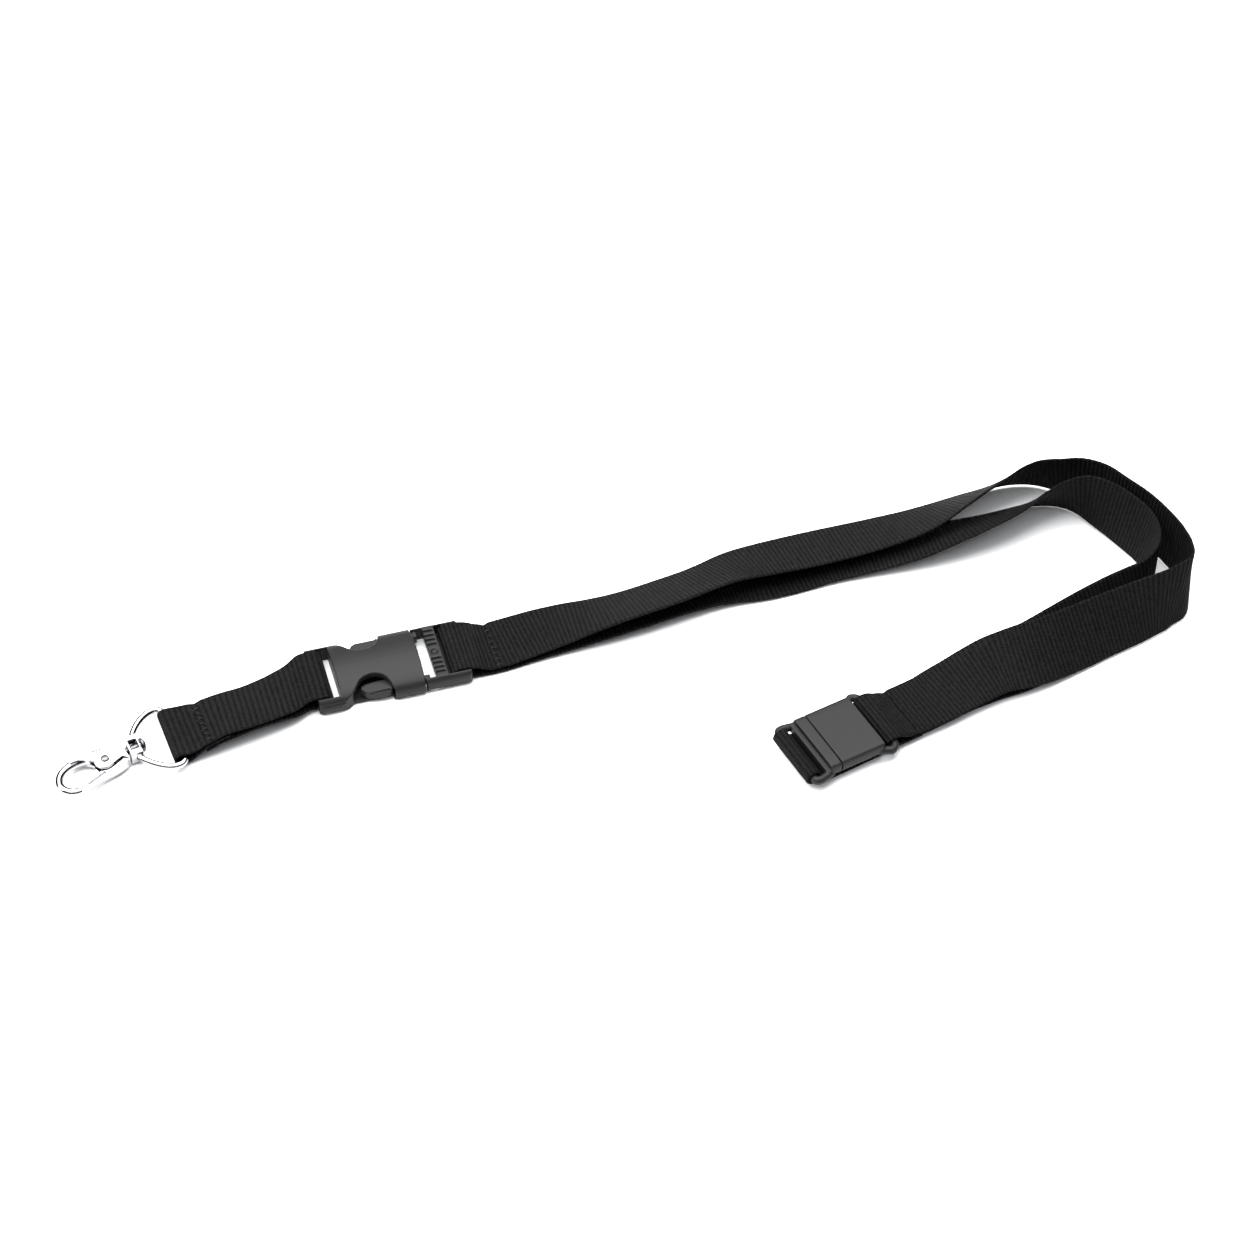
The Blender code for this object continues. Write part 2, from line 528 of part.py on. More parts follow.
def break_piece(name, half, body_edge, bar_x, mat, cavity=None):
    """A breakaway half with its strap loop, in the buckle's own frame."""
    sign = 1 if bar_x > 0 else -1
    body = put(plate(name, mirrored(half), BREAK_LOW, BREAK_HIGH), mat)
    round_edges(body, 1.0 * MM, 3)
    if cavity:
        boolean(body, cavity, "DIFFERENCE")
    far = 40 * MM
    xs = sorted((body_edge, body_edge + sign * far))
    boolean(body, box(name + "_slot", (xs[0], -EAR_INNER, -far), (xs[1], EAR_INNER, far)), "DIFFERENCE")
    xs = sorted((body_edge + sign * 1.1 * MM, body_edge + sign * far))
    boolean(body, box(name + "_low_ears", (xs[0], -far, 6.0 * MM), (xs[1], far, far)), "DIFFERENCE")
    end = EAR_INNER + 0.8 * MM
    boolean(body, rod(name + "_bar", BREAK_BAR_R, (bar_x, -end, BREAK_BAR_Z), (bar_x, end, BREAK_BAR_Z), 16),
            "UNION")
    return body


def breakaway(mat):
    low, high = BREAK_LOW + 1.2 * MM, BREAK_HIGH - 1.2 * MM
    right = break_half(BREAK_SEAM_X + GAP / 2, 0, 9.6 * MM, 16.6 * MM)
    cavity = box("break_cavity", (BREAK_SEAM_X - 2 * MM, -9.1 * MM, low), (8.3 * MM, 9.1 * MM, high))
    socket = break_piece("breakaway_socket", right, 10.9 * MM, BREAK_RIGHT_BAR, mat, cavity)
    left = break_half(0, BREAK_SEAM_X - GAP / 2, -8.6 * MM, -15.8 * MM)
    plug = break_piece("breakaway_plug", left, -9.6 * MM, BREAK_LEFT_BAR, mat)
    boolean(plug, box("break_tongue", (BREAK_SEAM_X - MM, -2.6 * MM, low + GAP), (6.0 * MM, 2.6 * MM, high - GAP)),
            "UNION")
    pieces = [socket, plug]
    for side, word in ((1, "back"), (-1, "front")):
        outline = [(-4.1, 5.0), (-4.1, 6.8), (3.0, 7.0), (4.2, 8.5), (5.6, 8.5), (7.4, 7.0), (7.4, 5.8), (6.6, 5.0)]
        leg = plate(f"breakaway_leg_{word}", [(x * MM, side * y * MM) for x, y in outline], low + GAP, high - GAP)
        pieces.append(put(leg, mat))
    for piece in pieces:
        place(piece, BREAK_TURN, BREAK_AT)
    for cutter in bpy.data.collections["cutters"].objects:
        if cutter.name.startswith("break"):
            place(cutter, BREAK_TURN, BREAK_AT)


# ---------------------------------------------------------------- D-loop, swivel and hook
def d_loop(mat):
    """A wire D with its bar in the short strap's fold, and the swivel boss at its bow."""
    depth = RING_DEPTH / MM
    half = [(0.0, 0.0), (0.0, 5.0), (0.0, 10.0), (-0.35, 11.1), (-1.6, 11.95), (-3.8, 11.85), (-6.1, 10.75),
            (-8.5, 8.8), (-10.4, 6.6), (-11.9, 4.2), (-depth, 1.8)]
    ring = half + [(x, -y) for x, y in reversed(half[1:])]
    points = [Vector((x * MM + RING_DEPTH, y * MM, 0)) for x, y in ring]
    body = put(wire("d_loop", points, RING_R, closed=True, resolution=2), mat)
    boolean(body, round_edges(box("boss", -BOSS_SIZE / 2, BOSS_SIZE / 2), 0.6 * MM, 2), "UNION")
    turn = Matrix.Rotation(HOOK_TURN - RING_TURN, 3, "Z")
    reach = turn @ Vector((8 * MM, 0, 0))
    boolean(body, rod("swivel_bore", SWIVEL_BORE, -reach, reach), "DIFFERENCE")
    for obj in (body, bpy.data.objects["boss"], bpy.data.objects["swivel_bore"]):
        place(obj, RING_TURN, RING_AT)
    return body


def swivel_rivet(mat):
    """The shank through the boss, with its peened head inside the D-loop."""
    half = BOSS_SIZE.x / 2
    profile = [(SHANK_END, 0), (SHANK_END, SWIVEL_R), (half + 0.5 * MM, SWIVEL_R),
               (half + 0.5 * MM, 2.2 * MM), (half + 1.1 * MM, 2.0 * MM), (half + 1.6 * MM, 1.2 * MM),
               (half + 1.8 * MM, 0)]
    bm = bmesh.new()
    verts = [bm.verts.new((r, 0, x)) for x, r in profile]
    for a, b in zip(verts, verts[1:]):
        bm.edges.new((b, a))
    obj = put(new_mesh("swivel_rivet", bm), mat)
    spin = obj.modifiers.new("turn", "SCREW")
    spin.angle = math.tau
    spin.steps = spin.render_steps = 20
    spin.use_merge_vertices = True
    spin.merge_threshold = 0.00001
    obj.rotation_euler = (0, math.pi / 2, HOOK_TURN)
    obj.location = RING_AT
    return obj


def hook(mat):
    """Flat cast hook body with its round claw, in the hook's own frame, tip towards -x."""
    low, high = -HOOK_THICK / 2, HOOK_THICK / 2
    px, py = HOOK_PIVOT.x / MM, HOOK_PIVOT.y / MM
    cheek = arc((px, py), 3.5, 170, 262, 9)
    outline = [(-2.75, 4.0), (-4.0, 3.3), (-7.0, 4.0), (-10.0, 4.4), (-13.5, 4.3), (-14.6, 3.2)] + cheek \
        + [(-4.6, -2.3), (-3.6, -3.6), (-2.75, -3.9)]
    body = put(plate("hook_body", [(x * MM, y * MM) for x, y in outline], low, high), mat)
    round_edges(body, 0.8 * MM, 2)
    claw = [(-11.0, 2.9), (-14.5, 3.2), (-17.5, 3.25), (-20.3, 2.9), (-22.7, 1.9), (-24.5, 0.2),
            (-25.3, -2.0), (-24.9, -4.3), (-23.5, -6.1), (-21.8, -6.9), (-20.4, -7.1)]
    taper = [1.15, 1.15, 1.1, 1.05, 1, 1, 1, 1, 1, 0.95, 0.85]
    boolean(body, wire("claw", [(x * MM, y * MM, 0) for x, y in claw], CLAW_R, taper=taper), "UNION")
    boolean(body, rod("pin_bore", PIN_R + 0.1 * MM, HOOK_PIVOT - Vector((0, 0, 9 * MM)),
                      HOOK_PIVOT + Vector((0, 0, 9 * MM)), 16), "DIFFERENCE")
    boolean(body, box("lever_slot", (-16 * MM, -9 * MM, -SLOT_THICK / 2), (-4.6 * MM, 1.6 * MM, SLOT_THICK / 2)),
            "DIFFERENCE")
    boolean(body, rod("shank_hole", SWIVEL_R + GAP, (-MM, 0, 0), (SHANK_HOLE_END, 0, 0), 16), "DIFFERENCE")
    return body


def trigger(mat):
    """Gate lever: an eye on the pin inside the slot, the gate to the claw's tip and the thumb tail."""
    px, py = HOOK_PIVOT.x / MM, HOOK_PIVOT.y / MM
    eye = arc((px, py), 2.0, 100, -60, 9)
    plan = eye + [(-8.4, -3.2), (-6.6, -4.3), (-11.2, -5.2), (-12.6, -4.8), (-12.1, -2.6)]
    lever = put(plate("trigger_lever", [(x * MM, y * MM) for x, y in plan], -LEVER_THICK / 2, LEVER_THICK / 2), mat)
    boolean(lever, rod("lever_bore", PIN_R + 0.1 * MM, HOOK_PIVOT - Vector((0, 0, 9 * MM)),
                       HOOK_PIVOT + Vector((0, 0, 9 * MM)), 16), "DIFFERENCE")
    strip = [(-3.4, -4.3), (-4.4, -3.1), (-6.5, -3.7), (-9.0, -4.55), (-10.6, -4.75), (-12.4, -4.4), (-13.4, -4.3),
             (-16.0, -5.3), (-18.6, -6.2), (-19.0, -7.4), (-18.4, -7.9), (-15.4, -7.0), (-12.0, -6.3),
             (-8.0, -5.9), (-5.2, -5.2)]
    outer = plate("lever_strip", [(x * MM, y * MM) for x, y in strip], -1.5 * MM, 1.5 * MM)
    boolean(lever, round_edges(outer, 0.4 * MM, 2), "UNION")
    return lever


def hook_set(mat, spring_mat):
    body = hook(mat)
    lever = trigger(mat)
    up = HOOK_THICK / 2
    pin = put(rod("trigger_pin", PIN_R, HOOK_PIVOT - Vector((0, 0, up)), HOOK_PIVOT + Vector((0, 0, up + 0.2 * MM)),
                  16), mat)
    leaf = [(-7.2, 0.35), (-5.6, 0.1), (-5.2, -0.8), (-6.0, -1.6), (-6.6, -2.6)]
    spring = put(wire("trigger_spring", [(x * MM, y * MM, 0) for x, y in leaf], 0.25 * MM, resolution=1), spring_mat)
    pieces = [body, lever, pin, spring] + [o for o in bpy.data.collections["cutters"].objects
                                           if o.name in ("claw", "pin_bore", "lever_slot", "shank_hole",
                                                         "lever_bore", "lever_strip")]
    for piece in pieces:
        place(piece, HOOK_TURN, RING_AT)
    spot = RING_AT + Matrix.Rotation(HOOK_TURN, 3, "Z") @ HOOK_PIVOT
    hinge = bpy.data.objects.new("trigger_hinge", None)
    hinge.location = spot
    bpy.data.collections["lanyard"].objects.link(hinge)
    bpy.context.view_layer.update()
    lever.parent = hinge
    lever.matrix_parent_inverse = hinge.matrix_world.inverted()


# ---------------------------------------------------------------- the whole lanyard
def build():
    start_scene()
    webbing = material("webbing", BLACK, 0.85)
    thread = material("thread", SEAM_BLACK, 0.7)
    plastic = material("plastic", PLASTIC, 0.45)
    chrome = material("chrome", CHROME, 0.12, 1.0)
    steel = material("spring_steel", (0.45, 0.45, 0.46), 0.3, 1.0)

    neck_outer(webbing)
    neck_inner(webbing)
    neck_plug_end(webbing)
    short_strap(webbing)
    top, side = short_spot(-60, 4.1)
    seam("ring_seam", top + Vector((0, 0, ABOVE_WEB + 0.1 * MM)), RING_FOLD_TURN, thread,
         roll=math.asin(side.normalized().z))
    seam("buckle_seam", Vector((33.0 * MM, 0, FLAT + LAYER + ABOVE_WEB + 0.4 * MM)), 0, thread)
    for word, x, rise in (("inner", 22.0, 0.6), ("outer", 24.0, 0.3)):
        spot = turned([Vector((x * MM, 0, FLAT + 2 * LAYER + ABOVE_WEB + rise * MM))], BREAK_TURN, BREAK_AT)[0]
        seam(f"socket_seam_{word}", spot, BREAK_TURN, thread, count=16, swing=0.3 * MM)
    buckle_socket(plastic)
    buckle_plug(plastic)
    buckle_prong("buckle_prong_back", 1, plastic)
    buckle_prong("buckle_prong_front", -1, plastic)
    breakaway(plastic)
    d_loop(chrome)
    swivel_rivet(chrome)
    hook_set(chrome, steel)


build()
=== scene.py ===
import math

import bmesh
import bpy
import numpy as np
from mathutils import Matrix, Vector


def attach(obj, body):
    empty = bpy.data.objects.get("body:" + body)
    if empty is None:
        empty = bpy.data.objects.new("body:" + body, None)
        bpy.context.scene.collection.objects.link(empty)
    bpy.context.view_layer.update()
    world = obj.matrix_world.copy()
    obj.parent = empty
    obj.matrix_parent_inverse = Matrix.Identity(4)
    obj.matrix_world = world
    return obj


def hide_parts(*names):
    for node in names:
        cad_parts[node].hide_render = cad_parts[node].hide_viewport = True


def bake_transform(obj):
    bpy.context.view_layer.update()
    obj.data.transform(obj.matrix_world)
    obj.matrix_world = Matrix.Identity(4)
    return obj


mm = 0.001
far = 40  # mm, past either buckle, for cuts that go right through
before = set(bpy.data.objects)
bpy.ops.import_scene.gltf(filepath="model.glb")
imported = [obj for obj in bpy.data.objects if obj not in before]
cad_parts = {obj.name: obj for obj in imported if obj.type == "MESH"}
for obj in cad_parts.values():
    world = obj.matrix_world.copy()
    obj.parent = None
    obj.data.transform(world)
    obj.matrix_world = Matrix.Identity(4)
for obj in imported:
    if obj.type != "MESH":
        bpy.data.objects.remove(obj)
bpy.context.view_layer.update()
print("stage: frame loaded")


# small helpers: objects put in the scene, meshes from arrays, smooth curves, and solids in mm
def link(obj):
    bpy.context.scene.collection.objects.link(obj)
    return obj


# a smooth-shaded mesh of quads from arrays; uv holds one pair per face corner
def meshFrom(name, verts, faces, uv=None):
    mesh = bpy.data.meshes.new(name)
    mesh.from_pydata(np.asarray(verts).tolist(), [], [tuple(f) for f in faces.tolist()])
    mesh.polygons.foreach_set("use_smooth", np.ones(len(faces), bool))
    if uv is not None:
        layer = mesh.uv_layers.new(name="UVMap")
        layer.data.foreach_set("uv", np.asarray(uv, np.float32).ravel())
    mesh.update()
    return link(bpy.data.objects.new(name, mesh))


# Catmull-Rom curve through rows of numbers, sampled about every step of the first three columns
def smoothRows(points, step):
    p = np.asarray(points, float)
    p = np.vstack([p[:1], p, p[-1:]])
    out = []
    for a, b, c, d in zip(p, p[1:], p[2:], p[3:]):
        count = max(1, round(float(np.linalg.norm(c[:3] - b[:3])) / step))
        t = (np.arange(count) / count)[:, None]
        out.append(0.5 * (2 * b + (c - a) * t + (2 * a - 5 * b + 4 * c - d) * t ** 2
                          + (3 * b - a - 3 * c + d) * t ** 3))
    out.append(p[-1:])
    return np.vstack(out)


def bmObject(name, bm):
    mesh = bpy.data.meshes.new(name)
    bm.to_mesh(mesh)
    bm.free()
    return link(bpy.data.objects.new(name, mesh))


def box(low, high):
    low, high = Vector(low) * mm, Vector(high) * mm
    bm = bmesh.new()
    bmesh.ops.create_cube(bm, size=1, matrix=Matrix.Translation((low + high) / 2)
                          @ Matrix.Diagonal((*(high - low), 1)))
    return bmObject("box", bm)


def rod(radius, start, end, endRadius=None):
    start, end = Vector(start) * mm, Vector(end) * mm
    run = end - start
    turn = run.to_track_quat("Z", "Y").to_matrix().to_4x4()
    bm = bmesh.new()
    bmesh.ops.create_cone(bm, cap_ends=True, segments=48, radius1=radius * mm,
                          radius2=(radius if endRadius is None else endRadius) * mm,
                          depth=run.length, matrix=Matrix.Translation((start + end) / 2) @ turn)
    return bmObject("rod", bm)


def ball(centre, radius, stretch=(1, 1, 1)):
    bm = bmesh.new()
    place = Matrix.Translation(Vector(centre) * mm) @ Matrix.Diagonal((*stretch, 1))
    bmesh.ops.create_uvsphere(bm, u_segments=48, v_segments=24, radius=radius * mm, matrix=place)
    return bmObject("ball", bm)


# a closed 2-D outline made solid from start to end along z or x, in mm
def prism(section, start, end, along="z"):
    bm = bmesh.new()
    if along == "z":
        ends = [[(a * mm, b * mm, h * mm) for a, b in section] for h in (start, end)]
    else:
        ends = [[(h * mm, a * mm, b * mm) for a, b in section] for h in (start, end)]
    rings = [[bm.verts.new(spot) for spot in spots] for spots in ends]
    bm.faces.new(rings[0])
    bm.faces.new(list(reversed(rings[1])))
    n = len(section)
    for k in range(n):
        bm.faces.new((rings[0][k], rings[1][k], rings[1][(k + 1) % n], rings[0][(k + 1) % n]))
    bmesh.ops.recalc_face_normals(bm, faces=bm.faces)
    return bmObject("prism", bm)


# a round wire along points; taper scales its radius at each point
def tube(points, radius, closed=False, taper=None, resolution=8):
    curve = bpy.data.curves.new("tube", "CURVE")
    curve.dimensions = "3D"
    curve.bevel_depth = radius * mm
    curve.bevel_resolution = resolution
    curve.use_fill_caps = True
    line = curve.splines.new("POLY")
    line.points.add(len(points) - 1)
    for k, (point, spot) in enumerate(zip(line.points, points)):
        point.co = (*[c * mm for c in spot], 1)
        point.radius = 1.0 if taper is None else float(taper[k])
    line.use_cyclic_u = closed
    obj = link(bpy.data.objects.new("tube", curve))
    bpy.context.view_layer.update()
    mesh = bpy.data.meshes.new_from_object(obj.evaluated_get(bpy.context.evaluated_depsgraph_get()))
    bm = bmesh.new()
    bm.from_mesh(mesh)
    bmesh.ops.remove_doubles(bm, verts=bm.verts, dist=0.0000005)
    bmesh.ops.recalc_face_normals(bm, faces=bm.faces)
    bpy.data.objects.remove(obj)
    return bmObject("tube", bm)


# a smooth closed plan outline through given points
def closedSmooth(points, step):
    p = [(x, y, 0) for x, y in points]
    rows = smoothRows(p[-2:] + p + p[:2], step)
    start = np.argmin(np.linalg.norm(rows - np.array(p[0]), axis=1))
    back = len(rows) - 1 - np.argmin(np.linalg.norm(rows[::-1] - np.array(p[0]), axis=1))
    return [tuple(r[:2]) for r in rows[start:back]]


# points on a circle: centre plus radius times cosine and sine of even angles, in degrees
def arcPoints(centre, radius, start, end, count):
    turns = np.radians(np.linspace(start, end, count))
    return [(centre[0] + radius * math.cos(a), centre[1] + radius * math.sin(a)) for a in turns]


# solids joined and cut in order, then voxel-remeshed and relaxed, so every edge is softly moulded
def moulded(name, base, steps, voxel=0.2, passes=6, turn=0.0, at=(0, 0, 0)):
    for operation, other in steps:
        step = base.modifiers.new(operation, "BOOLEAN")
        step.operation = operation
        step.solver = "EXACT"
        step.object = other
    remesh = base.modifiers.new("remesh", "REMESH")
    remesh.mode = "VOXEL"
    remesh.voxel_size = voxel * mm
    relax = base.modifiers.new("relax", "SMOOTH")
    relax.factor = 0.5
    relax.iterations = passes
    bpy.context.view_layer.update()
    mesh = bpy.data.meshes.new_from_object(base.evaluated_get(bpy.context.evaluated_depsgraph_get()))
    mesh.transform(Matrix.Translation(Vector(at) * mm) @ Matrix.Rotation(turn, 4, "Z"))
    for other in [base] + [o for _, o in steps]:
        bpy.data.objects.remove(other)
    mesh.polygons.foreach_set("use_smooth", np.ones(len(mesh.polygons), bool))
    mesh.name = name
    print("made", name, len(mesh.polygons))
    return link(bpy.data.objects.new(name, mesh))


# gives a piece its finish, the body it rides on and the nodes it stands for
def dress(obj, material, body, nodes):
    obj.data.materials.clear()
    obj.data.materials.append(material)
    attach(obj, body)
    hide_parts(*nodes)


# materials
# a shader value that can be written with + - * / in Python
class Socket:
    def __init__(self, tree, value):
        self.tree, self.value = tree, value

    def math(self, kind, *others):
        node = self.tree.nodes.new("ShaderNodeMath")
        node.operation = kind
        for k, item in enumerate((self, *others)):
            item = item.value if isinstance(item, Socket) else item
            if isinstance(item, (int, float)):
                node.inputs[k].default_value = item
            else:
                self.tree.links.new(item, node.inputs[k])
        return Socket(self.tree, node.outputs[0])

    def __add__(self, other):
        return self.math("ADD", other)

    def __sub__(self, other):
        return self.math("SUBTRACT", other)

    def __mul__(self, other):
        return self.math("MULTIPLY", other)

    def __truediv__(self, other):
        return self.math("DIVIDE", other)


# a Principled material with helpers to build what varies over it
class Look:
    def __init__(self, name, **values):
        self.material = bpy.data.materials.new(name)
        self.material.use_nodes = True
        self.tree = self.material.node_tree
        self.shader = self.tree.nodes["Principled BSDF"]
        for key, value in values.items():
            self.shader.inputs[key.replace("_", " ")].default_value = value

    def node(self, kind, inputs=(), **settings):
        node = self.tree.nodes.new(kind)
        for key, value in settings.items():
            setattr(node, key, value)
        for key, value in dict(inputs).items():
            if isinstance(value, Socket):
                self.tree.links.new(value.value, node.inputs[key])
            elif hasattr(value, "is_output"):
                self.tree.links.new(value, node.inputs[key])
            else:
                node.inputs[key].default_value = value
        return node

    def place(self, output="Object"):
        return self.node("ShaderNodeTexCoord").outputs[output]

    def parts(self, vector):
        split = self.node("ShaderNodeSeparateXYZ", {"Vector": vector})
        return [Socket(self.tree, o) for o in split.outputs]

    def noise(self, vector, scale, detail=3.0, rough=0.5):
        node = self.node("ShaderNodeTexNoise", {"Vector": vector, "Scale": scale, "Detail": detail,
                                                "Roughness": rough})
        return Socket(self.tree, node.outputs["Fac"])

    def mixColour(self, factor, low, high):
        node = self.node("ShaderNodeMix", data_type="RGBA")
        for socket, value in ((node.inputs[0], factor), (node.inputs[6], low), (node.inputs[7], high)):
            if isinstance(value, Socket):
                self.tree.links.new(value.value, socket)
            elif hasattr(value, "is_output"):
                self.tree.links.new(value, socket)
            else:
                socket.default_value = value
        return node.outputs[2]

    def put(self, name, value):
        self.tree.links.new(value.value if isinstance(value, Socket) else value, self.shader.inputs[name])

    def bump(self, height, strength, distance):
        node = self.node("ShaderNodeBump", {"Height": height, "Strength": strength, "Distance": distance})
        self.put("Normal", node.outputs["Normal"])


webbing = {
    "width": 20.0, "thick": 1.0,                       # mm
    "rib": 1.4, "shortRib": 1.75, "ribDepth": 0.17,    # mm; the short strap is woven coarser
    "step": 4, "across": 25,                           # rows per rib, columns over each face
    "selvedge": 0.05,                                  # mm that the woven edges stand proud
    "pinch": {"reach": 1.3, "dip": 0.3, "narrow": 0.045},  # mm, mm and share of the width at a seam
    "plugStretch": 1.62, "socketStretch": 1.5,         # wraps drawn out along x
    "innerSplit": 0.66,                                # share of the inner strand's length where it is cut
    "yarn": 0.82, "specular": 0.05, "rough": 0.7,
    "dark": (0.0004, 0.0004, 0.0004, 1), "pale": (0.0088, 0.0088, 0.009, 1),
}


def webbingLook():
    look = Look("webbingLook", Roughness=webbing["rough"], Specular_IOR_Level=webbing["specular"])
    u, v, _ = look.parts(look.place("UV"))
    along = v * webbing["width"]
    across = u * webbing["width"]
    wobble = look.noise(look.place("Object"), 900.0, 2.0)
    # the rib term is 0 in the rib grooves, so the colour goes dark there: painted shade in the grooves,
    # mixed with the woven yarn pattern
    rib = (along * (math.pi / webbing["rib"])).math("SINE").math("ABSOLUTE")
    row = (along / webbing["rib"]).math("FLOOR").math("MODULO", 2.0)
    phase = across * (math.tau / webbing["yarn"]) + row * math.pi + (wobble - 0.5) * 1.6
    yarn = phase.math("SINE") * 0.5 + 0.5
    weaveAndGrooveShade = rib.math("POWER", 1.1) * (yarn * 0.5 + 0.5)
    fuzz = look.noise(look.place("Object"), 5200.0, 3.0, 0.7)
    patch = look.noise(look.place("Object"), 60.0, 3.0)
    broken = look.noise(look.place("Object"), 1100.0, 2.0, 0.6)
    # colour mix: painted groove shade from the rib term, plus random tone from the noise terms
    toneAndGrooveShade = weaveAndGrooveShade * 0.8 + fuzz * 0.2 + (patch - 0.5) * 0.3 + (broken - 0.5) * 1.3
    toneAndGrooveShade = toneAndGrooveShade.math("MINIMUM", 1.0).math("MAXIMUM", 0.0)
    look.put("Base Color", look.mixColour(toneAndGrooveShade, webbing["dark"], webbing["pale"]))
    look.put("Roughness", fuzz * 0.2 + (webbing["rough"] - 0.1))
    look.bump(weaveAndGrooveShade * 0.9 + fuzz * 0.35, 0.9, 0.00025)
    return look.material


def threadLook(name, low, high):
    look = Look(name, Roughness=0.55, Specular_IOR_Level=0.1)
    spin = look.noise(look.place("Object"), 4000.0, 2.0)
    look.put("Base Color", look.mixColour(spin, (low, low, low, 1), (high, high, high, 1)))
    look.bump(spin, 0.4, 0.0001)
    return look.material


def plasticLook(name, pale, rough):
    look = Look(name, Roughness=rough, Specular_IOR_Level=0.15)
    grain = look.noise(look.place("Object"), 5200.0, 2.0, 0.6)
    cloud = look.noise(look.place("Object"), 160.0, 3.0)
    dark = tuple(c * 0.82 for c in pale)
    look.put("Base Color", look.mixColour(cloud, (*dark, 1), (*pale, 1)))
    look.put("Roughness", grain * 0.14 + (rough - 0.07))
    look.bump(grain, 0.18, 0.00006)
    return look.material


def metalLook(name, colour, rough, flow=0.05):
    look = Look(name, Roughness=rough, Metallic=1.0)
    wear = look.noise(look.place("Object"), 420.0, 4.0, 0.6)
    dark = tuple(c * 0.9 for c in colour)
    look.put("Base Color", look.mixColour(wear, (*dark, 1), (*colour, 1)))
    look.put("Roughness", wear * flow + (rough - flow / 2))
    look.bump(look.noise(look.place("Object"), 260.0, 2.0), 0.12, 0.00012)
    return look.material


webMaterial = webbingLook()
threadMaterial = threadLook("threadLook", 0.006, 0.022)
# near-black thread for every second stitch: painted shadow of the stitch holes
holeShadowMaterial = threadLook("stitchHoleShadowLook", 0.0003, 0.0012)
plasticMaterial = plasticLook("plasticLook", (0.0108, 0.0108, 0.0111), 0.44)
chromeMaterial = metalLook("chromeLook", (0.43, 0.43, 0.44), 0.08)
rivetMaterial = metalLook("rivetLook", (0.12, 0.12, 0.125), 0.3, 0.1)
springMaterial = metalLook("springLook", (0.42, 0.42, 0.43), 0.3, 0.1)
print("stage: materials")

# where the CAD has each part, in mm and radians
halfWidth = webbing["width"] / 2
layer, flat = 1.3, 0.55  # height between two layers of webbing, and of the first one's middle
gap = 0.3  # from a bar to the webbing round it, and from the plug's rails to the cavity's sides
plugBarX, socketBarX, barZ, barR = 21.6, -22.6, 3.5, 1.4
breakAt, breakTurn = np.array([122.4, -67.5, 0.0]), math.radians(13.5)
breakBars = (-13.7, 14.8)  # along the breakaway's own x
breakBarR, breakBarZ = 1.4, 4.0
underOffset = 1.3  # sideways shift of the strand under the breakaway
ringAt, ringTurn, ringDepth, ringR = np.array([-81.6, -11.5, 2.7]), math.radians(9), 12.6, 1.1
hookTurn, foldTurn = math.radians(15), math.radians(5)

# webbing routes as the CAD straps have them: x, y, roll, lift and skew, and x, y, roll for the short one
outerRoute = [
    (26.5, 0.0, 0, 3.9, 0), (30.0, 0.0, 0, 1.9, 0), (33.5, 0.1, 1, 1.4, 0), (40.0, 0.6, 3, 1.4, 0),
    (49.0, 1.4, 6, 1.4, 0), (57.0, 1.5, 10, 1.5, 0), (65.0, 1.2, 17, 1.6, 0), (75.0, 1.5, 22, 1.7, 0),
    (90.0, 3.2, 24, 1.7, 0), (105.0, 6.4, 24, 1.6, 0), (115.0, 9.0, 19, 1.5, 0), (125.0, 10.0, 16, 1.4, 0),
    (141.0, 10.5, 14, 1.4, 0), (160.0, 10.9, 17, 1.2, 0), (176.0, 12.2, 24, 0.6, 0),
    (188.0, 14.7, 36, 0.0, 0), (197.0, 16.6, 45, 0.0, 0), (205.0, 18.0, 52, 0.0, 0),
    (212.5, 18.9, 60, 0.0, 0), (219.0, 17.8, 67, 0.0, 0), (225.5, 14.2, 76, 0.0, 0),
    (231.5, 10.4, 87, 0.0, 0), (236.8, 5.0, 92, 0.0, 0), (240.6, -2.5, 94, 0.0, 0),
    (244.6, -10.6, 95, 0.0, 0), (247.5, -19.6, 95, 0.0, 0), (249.2, -28.4, 94, 0.0, -6),
    (248.9, -36.3, 91, 0.0, -22), (245.8, -42.4, 82, 0.0, -32), (239.0, -45.6, 70, 0.0, -22),
    (232.0, -46.9, 63, 0.0, -8), (225.0, -48.1, 58, 0.0, 0), (215.0, -49.9, 53, 0.0, 0),
    (204.0, -52.2, 46, 0.4, 0), (194.0, -54.0, 37, 1.6, 0), (186.0, -54.6, 27, 3.0, 0),
    (178.0, -54.4, 15, 3.6, 0), (167.0, -56.4, 6, 2.9, 0), (158.0, -59.0, 2, 2.3, 0),
]
